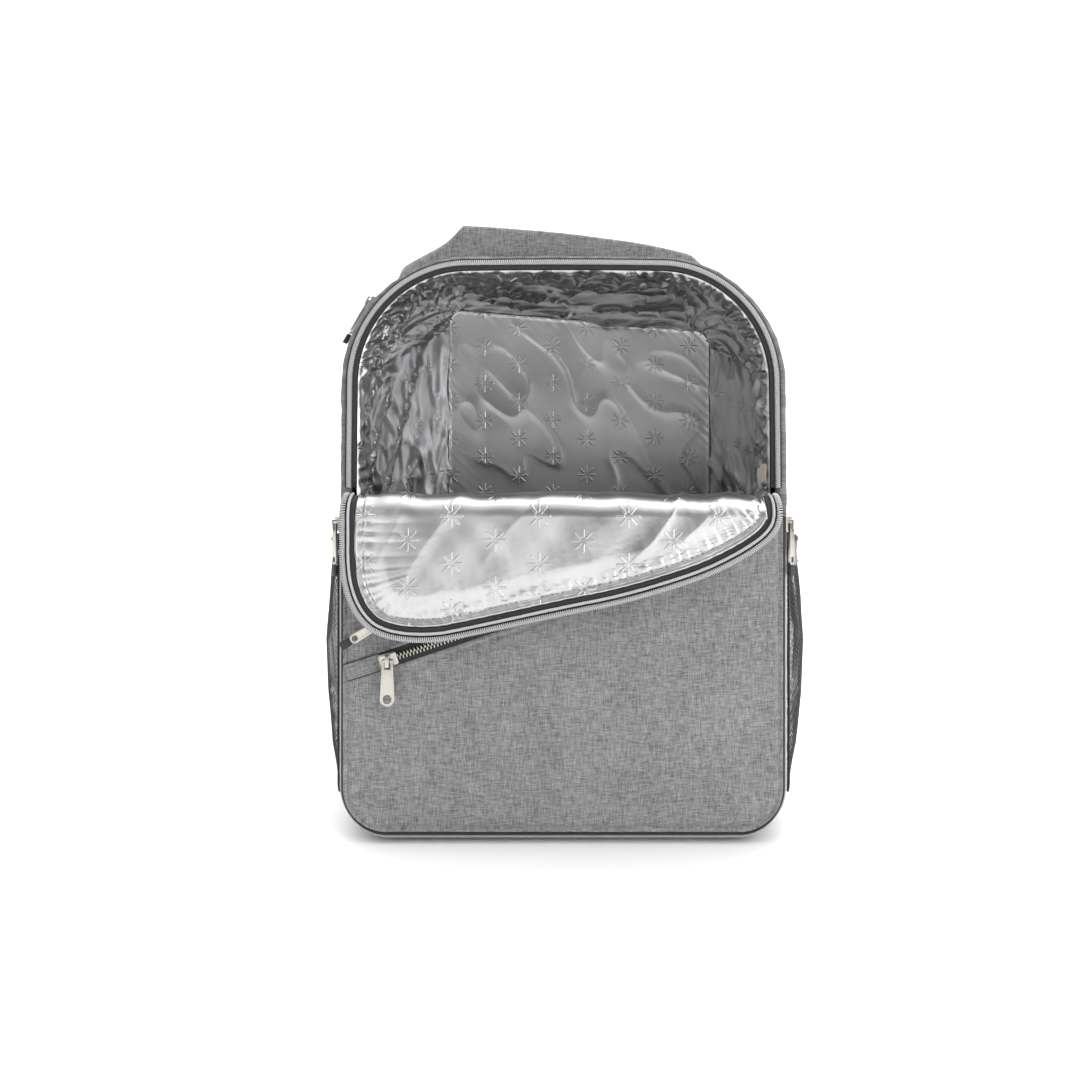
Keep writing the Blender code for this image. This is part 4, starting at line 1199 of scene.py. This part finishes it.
def build_rim_zip():
    """The opening's half of the main zip: black tape, coil along its outer edge and a stitch row."""
    path = rim_line()
    zip_tape_piece("rim_tape", path, RIM_TAPE, GAP, "rim_zip_tape")
    zip_coil_piece("rim_coil", path, 1.4, 3.2, 1.3, 1.5, "rim_zip_coil")


def roll_radius(x):
    share = (x - FLAP_SHIFT + FLAP_HALF) / (2 * FLAP_HALF)
    return ROLL_LEFT + (ROLL_RIGHT - ROLL_LEFT) * float(eased(share))


def flap_point(x, run):
    """A point of the flap's face. Run is 0 where the roll ends in front, and grows downwards."""
    radius = roll_radius(x)
    if run > 0:
        return np.array((x, FLAP_FACE - 2 * radius, ROLL_AXIS - run))
    turn = math.pi * min(1, max(0, -run / ROLL_RUN))
    z = ROLL_AXIS + ROLL_HEIGHT * math.sin(turn) + min(0, run + ROLL_RUN)
    return np.array((x, FLAP_FACE - radius - radius * math.cos(turn), z))


def flap_normal(x, run):
    step = 0.2
    along = flap_point(x, run + step) - flap_point(x, run - step)
    across = flap_point(x + step, run) - flap_point(x - step, run)
    normal = np.cross(along, across)
    return normal / np.linalg.norm(normal)


def flap_outline():
    """The flap's rim as (x, run), smoothed, from the roll's left end to its right end."""
    left, right = FLAP_SHIFT - FLAP_HALF, FLAP_SHIFT + FLAP_HALF
    drops = [(FLAP_SHIFT + FLAP_HALF * x, FLAP_DROP * drop - ROLL_HEIGHT) for x, drop in FLAP_RIM]
    points = [(left, -ROLL_RUN / 2), (left, drops[0][1] / 2)] + drops + [(right, -ROLL_RUN / 2)]
    return rim_path(points, 1.2)


def inset_rim(path, inset):
    ahead = np.concatenate([path[1:], path[-1:]])
    behind = np.concatenate([path[:1], path[:-1]])
    along = ahead - behind
    along /= np.linalg.norm(along, axis=1)[:, None]
    return path + np.stack([along[:, 1], -along[:, 0]], 1) * inset


def flap_line():
    """Points and directions along the flap's rim, as for a zip."""
    path = flap_outline()
    inner = inset_rim(path, 1.0)
    points, inwards, outwards = [], [], []
    for (x, run), (inner_x, inner_run) in zip(path, inner):
        point, normal = flap_point(x, run), flap_normal(x, run)
        way = flap_point(inner_x, inner_run) - point
        way -= normal * (way @ normal)
        points.append(point)
        inwards.append(way / np.linalg.norm(way))
        outwards.append(normal)
    return np.array(points), np.array(inwards), np.array(outwards)


def flap_sheet(name, inset, columns, lift, rows=92, roll_rows=34):
    """A sheet over the flap up to an inset rim, lifted off its face by lift(x, run, edge, along)."""
    path = flap_outline()
    rim = inset_rim(path, inset)
    hang = rim[rim[:, 1] > -2]
    hang = hang[np.argsort(hang[:, 0], kind="stable")]
    left, right = FLAP_SHIFT - FLAP_HALF + inset, FLAP_SHIFT + FLAP_HALF - inset
    tips = {}
    for i in range(columns + 1):
        share = i / columns
        x = left + (right - left) * (0.85 * share + 0.15 * float(eased(share)))
        tips[i] = (x, max(float(np.interp(x, hang[:, 0], hang[:, 1])), 1.0))
    back = -ROLL_RUN - (ROLL_AXIS - SPLIT - GAP)
    length = path_length(path)

    def spot(i, j):
        x, tip = tips[i]
        if j <= roll_rows:
            return x, back * (1 - j / roll_rows)
        return x, tip * (j - roll_rows) / rows

    def place(i, j):
        x, run = spot(i, j)
        near = np.linalg.norm(rim - (x, run), axis=1)
        k = int(near.argmin())
        off = lift(x, run, float(near[k]), float(length[k]))
        return flap_point(x, run) + flap_normal(x, run) * off

    return grid(name, columns, rows + roll_rows, place, spot, reverse=True)


def build_flap():
    """The flap: padded cloth behind, foil with a stitched hem in front, and its half of the zip."""

    def padding(x, run, edge, along):
        return -0.3 - 0.5 * hump(edge - 2, 2.0)

    mesh = flap_sheet("flap_pad", 1.2, 120, padding, 50, 24)
    made = show("flap_pad", mesh, "heather_fabric", nodes=("flap_panel",))
    thicken(made, 4.6)

    hem, depth, fold = 5.2, size("hem_depth"), size("fold_depth")

    def foil(x, run, edge, along):
        gather = pleat(along, 8.0, 2.0)
        lift = 0.9 + 0.75 * hump(edge - 1.0, 1.0)
        lift -= 0.75 * hump(edge - hem, 0.9)
        lift += depth * 0.8 * gather * hump(edge - hem - 3.5, 4.5)
        lift += depth * 0.35 * gather * hump(edge - 3.0, 1.2)
        lift += depth * 0.5 * gather * math.exp(-max(edge - hem, 0) / 22) * (edge > hem)
        field = float(eased((edge - hem - 2) / 16))
        lean = x + 0.7 * run
        lift += field * fold * (0.8 + 0.8 * ripple(lean, run, 34, 80, 1.2))
        lift += field * fold * 0.7 * crease(lean, run, 40, 90, 4.4, 1.5)
        lift += field * fold * 0.15 * ripple(x - 0.5 * run, run, 16, 30, 9.1)
        return max(lift, 0.2)

    mesh = flap_sheet("flap_foil", FLAP_FOIL_INSET, 230, foil)
    made = show("flap_foil", mesh, "foil", nodes=("flap_lining",))
    thicken(made, FOIL_THICK)
    path = flap_line()
    points, inwards, outwards = path
    zip_tape_piece("flap_tape", path, FLAP_TAPE, 0.5, "flap_zip_tape", columns=14)
    zip_coil_piece("flap_coil", path, 0.5, FLAP_COIL - 1.0, 1.5, 1.6, "flap_zip_coil")
    line = points + inwards * FLAP_CORD_INSET + outwards * 2.4
    cord("flap_cord", "trim", line, outwards, 1.0, nodes=("piping_flap",), wobble=0.1)
    stitches("hem_stitches", points + inwards * (FLAP_FOIL_INSET + hem) + outwards * 0.6, outwards)


# Side pockets


def band_side(z, y):
    """Half width of the side band's outer face at a height."""
    share = (y - BAND_FRONT) / BAND_DEPTH
    if z >= SEAM_LOW + LOW_RADIUS:
        return SEAM_HALF + float(band_puff(share, (1.0, 0.0)))
    puff = float(band_puff(share, (1.0, 0.0)))
    return half_width(z, puff)


def net_place(side, share, height, off):
    y = NET_HALF_DEPTH * share
    full = 1 - abs(share) ** 5
    return np.array((side * (band_side(height, y) + GAP + 1.0 + off * full), y, height))


def build_side_pockets():
    """Net of crossed strands under an elastic band, bound where it is sewn to the side."""
    heights = [row[0] for row in NET_PUFF]
    puffs = [row[1] for row in NET_PUFF]
    pitch = size("net_pitch")
    for word, side in (("left", -1), ("right", 1)):
        wide, tall = 2 * NET_HALF_DEPTH, NET_TOP - NET_LOW
        bm = bmesh.new()
        reach = (wide + tall) / 2 + pitch
        cells = round(2 * reach / pitch)
        bmesh.ops.create_grid(bm, x_segments=cells, y_segments=cells, size=reach)
        slant = Matrix.Rotation(math.pi / 4, 3, "Z")
        bmesh.ops.rotate(bm, verts=bm.verts, cent=(0, 0, 0), matrix=slant)
        for way, far in (((1, 0, 0), wide / 2), ((0, 1, 0), tall / 2)):
            for sign in (-1, 1):
                way_out = Vector(way) * sign
                bmesh.ops.bisect_plane(
                    bm,
                    geom=bm.verts[:] + bm.edges[:] + bm.faces[:],
                    dist=0.02,
                    plane_co=way_out * far,
                    plane_no=way_out,
                    clear_outer=True,
                )
        bmesh.ops.remove_doubles(bm, verts=bm.verts, dist=0.25)
        for vert in bm.verts:
            share = vert.co.x / (wide / 2)
            up = (vert.co.y + tall / 2) / tall
            off = float(np.interp(up, heights, puffs))
            off += 0.9 * math.sin(vert.co.x / 5.2) * eased((up - 0.75) / 0.25)
            off += 1.0 * ripple(vert.co.x, vert.co.y, 26, 40, 3.0 + side) * min(1, 4 * up)
            vert.co = Vector(net_place(side, share, NET_LOW + tall * up, off)) * MM
        mesh = to_mesh(f"net_{word}", bm)
        made = show(f"net_{word}", mesh, "net", nodes=(f"mesh_pocket_{word}",), smooth=0)
        wire = made.modifiers.new("strands", "WIREFRAME")
        wire.thickness = size("net_strand") * MM
        wire.use_even_offset = False
        wire.use_boundary = True

        def band(i, j):
            share = 2 * i / 150 - 1
            up = j / 14
            gather = 0.55 + 0.45 * ripple(i, j, 6, 20, 4.0)
            off = puffs[-1] + 1.0 * math.sin(share * NET_HALF_DEPTH / 2.1) * gather
            off += 0.8 * hump(up - 0.06, 0.08) + 0.8 * hump(up - 0.94, 0.08)
            off -= 0.5 * hump(up - 0.5, 0.12)
            return net_place(side, share, NET_TOP + 0.2 + (NET_HIGH - NET_TOP) * up, off)

        def chart(i, j):
            return (i * 2 * NET_HALF_DEPTH / 150, 19.0 * j / 14)

        name = f"pocket_hem_{word}"
        nodes = (f"pocket_band_{word}",)
        made = patch(name, "heather_fabric", 150, 14, band, chart, reverse=side < 0, nodes=nodes)
        thicken(made, 1.6)
        edge = [net_place(side, s, NET_HIGH + 0.3, puffs[-1]) for s in np.linspace(-1, 1, 120)]
        cord(f"hem_binding_{word}", "zip_tape", edge, (side, 0, 0), 1.3, wobble=0.2)
        sides = []
        for sign in (-1, 1):
            heights_up = np.linspace(NET_LOW, NET_HIGH, 120)
            sides.append([net_place(side, sign, z, 0.2) for z in heights_up])
        foot = [net_place(side, s, NET_LOW, puffs[0]) for s in np.linspace(-1, 1, 90)]
        for tag, line in (("front", sides[0]), ("back", sides[1]), ("foot", foot)):
            name = f"net_binding_{tag}_{word}"
            cord(name, "zip_tape", line, (side, 0, 0), 1.5, wobble=0.12, flat=0.7)


# Handle and straps


def build_handle():
    """The top handle, a folded padded band whose feet are sewn to the shoulders."""
    bm = merged("top_handle")
    bmesh.ops.subdivide_edges(bm, edges=bm.edges[:], cuts=1, use_grid_fill=True)
    sharp = bm.verts.layers.float.new("crease_vert")
    for vert in bm.verts:
        if vert.co.z > 0.4685 and vert.co.x < -0.08:
            vert[sharp] = 0.85  # the folded corner
    mesh = to_mesh("handle", dress(bm))
    made = show("handle", mesh, "heather_fabric", nodes=("top_handle",), smooth=0)
    soften(made, 2)


def build_straps():
    """Padded straps swollen by simulation, bound along their edges, with webbing and a buckle."""
    for word, side in (("left", -1), ("right", 1)):
        name = f"strap_{word}"
        bm = swell(name, merged(f"shoulder_{name}"), STRAP_VOXEL, STRAP_PRESSURE, STRAP_SWELL)
        mesh = to_mesh(name, dress(bm))
        made = show(name, mesh, "heather_fabric", nodes=(f"shoulder_{name}",), smooth=0)
        soften(made, 1)
        for tag, way in (("inner", -1), ("outer", 1)):
            edge = [(side * (x + way * half), y, z) for z, y, x, half in STRAP_RUN]
            edge = rim_path(edge, 2.0)
            name = f"strap_binding_{tag}_{word}"
            cord(name, "zip_tape", edge, (side * way, 0, 0), 2.2, wobble=0.1, flat=0.8)
            seam = [
                (side * (x + way * (half - 6.5)), y + STRAP_PAD / 2 + 1.6, z) for z, y, x, half in STRAP_RUN
            ]
            stitches(f"strap_stitches_{tag}_{word}", rim_path(seam, 2.0), (0, 1, 0))
        build_webbing(word)
        build_buckle(word)


def build_webbing(word):
    """Flat webbing from the buckle to the base."""
    bm = merged(f"strap_webbing_{word}")
    bmesh.ops.subdivide_edges(bm, edges=bm.edges[:], cuts=2, use_grid_fill=True)
    name = f"webbing_{word}"
    made = show(name, to_mesh(name, dress(bm)), "zip_tape", nodes=(f"strap_{name}",))


def build_buckle(word):
    """A plain moulded buckle in the place of its solid."""
    bm = merged(f"strap_buckle_{word}")
    bmesh.ops.dissolve_limit(bm, angle_limit=math.radians(2), verts=bm.verts, edges=bm.edges)
    name = f"buckle_{word}"
    show(name, to_mesh(name, bm), "black_moulding", nodes=(f"strap_{name}",))


# The zip over the shoulder and the pulls


def rear_line(width):
    """Points and directions over the top of the side band, for a tape centred on the shoulder zip."""
    loop, normal, _ = seam_line(12)
    share = (REAR_ZIP_Y - BAND_FRONT) / BAND_DEPTH
    keys = [k for k in range(len(loop)) if loop[k][1] >= RIM_END]
    points = np.array(
        [
            (*(loop[k] + normal[k] * float(band_puff(share, normal[k]))), REAR_ZIP_Y - width / 2)
            for k in keys
        ]
    )[:, [0, 2, 1]]
    outwards = np.array([(normal[k][0], 0, normal[k][1]) for k in keys])
    return points, np.tile((0, 1.0, 0), (len(keys), 1)), outwards


def build_rear_zip():
    """The zip that runs over the top of the side band."""
    zip_tape_piece("shoulder_tape", rear_line(9.0), 9.0, 0.9, "rear_zip_tape")
    zip_coil_piece("shoulder_coil", rear_line(4.0), 0.2, 3.6, 1.9, 0.9, "rear_zip_coil")


def bevelled(node, name, slot, body, width, angle=50):
    """A hard piece in the place of its solid, with its sharp edges rounded."""
    bm = merged(node)
    bmesh.ops.dissolve_limit(bm, angle_limit=math.radians(1), verts=bm.verts, edges=bm.edges)
    sharp = [e for e in bm.edges if len(e.link_faces) == 2 and e.calc_face_angle() > math.radians(angle)]
    bmesh.ops.bevel(
        bm,
        geom=sharp,
        offset=width * MM,
        segments=2,
        profile=0.5,
        affect="EDGES",
        clamp_overlap=True,
        material=-1,
    )
    return show(name, to_mesh(name, bm), slot, body, nodes=(node,), smooth=35)


def build_pulls():
    """Sliders, plated pulls with rounded edges, and their moulded tips."""
    for joint in frame["joints"]:
        body = joint["child"]
        key = body.removesuffix("_pull")
        bevelled(f"{key}_slider", f"{key}_slide", "nickel", "root", 0.35)
        bevelled(body, f"{key}_tab", "nickel", body, 0.32)
        if f"{body}_tip" in frame["nodes"]:
            bevelled(f"{body}_tip", f"{key}_sleeve", "black_moulding", body, 0.35, 25)


# The stage


def area_light(name, place, target, wide, power):
    lamp = bpy.data.lights.new(name, "AREA")
    lamp.shape = "RECTANGLE"
    lamp.size, lamp.size_y = wide
    lamp.energy = power
    made = bpy.data.objects.new(name, lamp)
    made.location = place
    made.rotation_euler = (Vector(target) - Vector(place)).to_track_quat("-Z", "Y").to_euler()
    bpy.context.scene.collection.objects.link(made)
    return made


def light_room(tree):
    """Soft boxes at the right, the left and above, with dark gaps that the foil mirrors."""
    way = add(tree, "SeparateXYZ", {0: add(tree, "TexCoord").node.outputs["Generated"]}).node
    ahead = maths(tree, "MULTIPLY", way.outputs[1], -1.0)
    turn = maths(tree, "ARCTAN2", way.outputs[0], ahead)
    total = 0.28
    boxes = (
        # what it reads, its middle, half width, strength
        (turn, 0.95, 0.4, 1.5),
        (turn, -0.95, 0.3, 0.4),
        (turn, -1.95, 0.35, 0.45),
        (way.outputs[2], 0.95, 0.28, 0.9),
        (way.outputs[1], 0.9, 0.6, 0.6),
    )
    for reading, middle, half, strength in boxes:
        off = maths(tree, "SUBTRACT", reading, middle)
        off = maths(tree, "ABSOLUTE", off)
        reach = (half, half + 0.12)
        glow = remap(tree, off, reach, (strength, 0.0), interpolation_type="SMOOTHSTEP")
        total = maths(tree, "ADD", total, glow)
    tree.links.new(total, tree.nodes["Background"].inputs["Strength"])
    tree.nodes["Background"].inputs["Color"].default_value = (*linear(0xF8F8F8), 1)


def build_stage():
    """A pale floor that curves up behind, soft studio light and the camera."""
    rows = 60

    def place(i, j):
        run = -3000 + 7000 * j / rows
        bend, radius = 1500.0, 900.0
        if run < bend:
            return ((i - 10) * 400, run, 0.0)
        turn = min((run - bend) / radius, math.pi / 2)
        rest = run - bend - turn * radius
        return ((i - 10) * 400, bend + radius * math.sin(turn), radius * (1 - math.cos(turn)) + rest)

    mesh = grid("floor", 20, rows, place)
    made = bpy.data.objects.new("floor", mesh)
    bpy.context.scene.collection.objects.link(made)
    paint, tree, shader = start_material("matt_paint", linear(0xF4F4F4), 0.75)
    spots = add(tree, "TexCoord").node.outputs["Object"]
    grain = noise_at(tree, spots, 400.0, 2.0)
    bump_into(tree, shader, ((grain, 0.3, 0.1),))
    mesh.materials.append(paint)
    mesh.shade_smooth()

    world = bpy.data.worlds.new("studio")
    bpy.context.scene.world = world
    world.use_nodes = True
    light_room(world.node_tree)
    area_light("key", (0.95, -1.0, 0.5), (0, 0, 0.2), (0.7, 0.9), 5.5)
    area_light("fill", (-1.2, -1.5, 0.6), (0, 0, 0.2), (0.7, 1.2), 1.2)
    area_light("top", (0.1, -0.2, 1.9), (0, 0, 0.2), (1.6, 0.9), 12)
    area_light("sweep", (0.0, 0.9, 2.4), (0, 2.2, 0.2), (2.6, 1.0), 60)

    camera = bpy.data.cameras.new("camera")
    camera.sensor_width = 36
    camera.lens = CAMERA_LENS
    camera.shift_x, camera.shift_y = CAMERA_SHIFT
    camera.clip_start = 0.01
    made = bpy.data.objects.new("camera", camera)
    made.location = CAMERA_PLACE
    made.rotation_euler = (math.radians(90), 0, 0)
    bpy.context.scene.collection.objects.link(made)
    bpy.context.scene.camera = made
    bpy.context.scene.view_settings.view_transform = "Standard"


def piece_operator(key, label, about, *builders):
    """An operator class that runs the builders of one group of pieces."""

    def execute(self, context):
        for builder in builders:
            builder()
        return {"FINISHED"}

    return type(
        f"COOLER_OT_{key}",
        (bpy.types.Operator,),
        {
            "bl_idname": f"cooler.{key}",
            "bl_label": label,
            "bl_options": {"REGISTER", "UNDO"},
            "__doc__": "Build " + about,
            "execute": execute,
        },
    )


PIECES = (
    # name, label, what it builds, its builders
    ("shell", "Shell", "the padded band, panels and corded seams", build_band, build_panels, build_piping),
    ("front_pocket", "Front pocket", "the pocket's skin, tab and two slanted zips",
     build_front_pocket, build_zip_tab, build_pocket_zips),
    ("lining", "Foil lining", "the creased foil inside and the blank label", build_lining, build_label),
    ("rim_zip", "Rim zip", "the opening's half of the main zip", build_rim_zip),
    ("flap", "Flap", "the padded flap with its foil, hem and zip", build_flap),
    ("side_pockets", "Side pockets", "the net pockets and their elastic bands", build_side_pockets),
    ("carrying", "Handle and straps", "the handle, straps, webbing and buckles", build_handle, build_straps),
    ("pulls", "Shoulder zip and pulls", "the shoulder zip, the sliders and the pulls",
     build_rear_zip, build_pulls),
    ("stage", "Stage", "the floor, the lights and the camera", build_stage),
)
OPERATORS = [piece_operator(*piece) for piece in PIECES]


class COOLER_PT_panel(bpy.types.Panel):
    """The bag's pieces, sizes and colours"""

    bl_idname = "COOLER_PT_panel"
    bl_label = "Cooler Backpack"
    bl_space_type = "VIEW_3D"
    bl_region_type = "UI"
    bl_category = "Cooler"

    def draw(self, context):
        for group in (context.scene.cooler_sizes, context.scene.cooler_colours):
            box = self.layout.box()
            for key in group.__annotations__:
                box.prop(group, key)
        for operator in OPERATORS:
            self.layout.operator(operator.bl_idname)


CLASSES = (CoolerColours, CoolerSizes, *OPERATORS, COOLER_PT_panel)


def register():
    for cls in CLASSES:
        bpy.utils.register_class(cls)
    bpy.types.Scene.cooler_colours = bpy.props.PointerProperty(type=CoolerColours)
    bpy.types.Scene.cooler_sizes = bpy.props.PointerProperty(type=CoolerSizes)


def unregister():
    del bpy.types.Scene.cooler_sizes
    del bpy.types.Scene.cooler_colours
    for cls in reversed(CLASSES):
        bpy.utils.unregister_class(cls)


def main():
    register()
    for operator in OPERATORS:
        group, name = operator.bl_idname.split(".")
        getattr(getattr(bpy.ops, group), name)()
    bpy.context.view_layer.update()


if __name__ == "__main__":
    main()
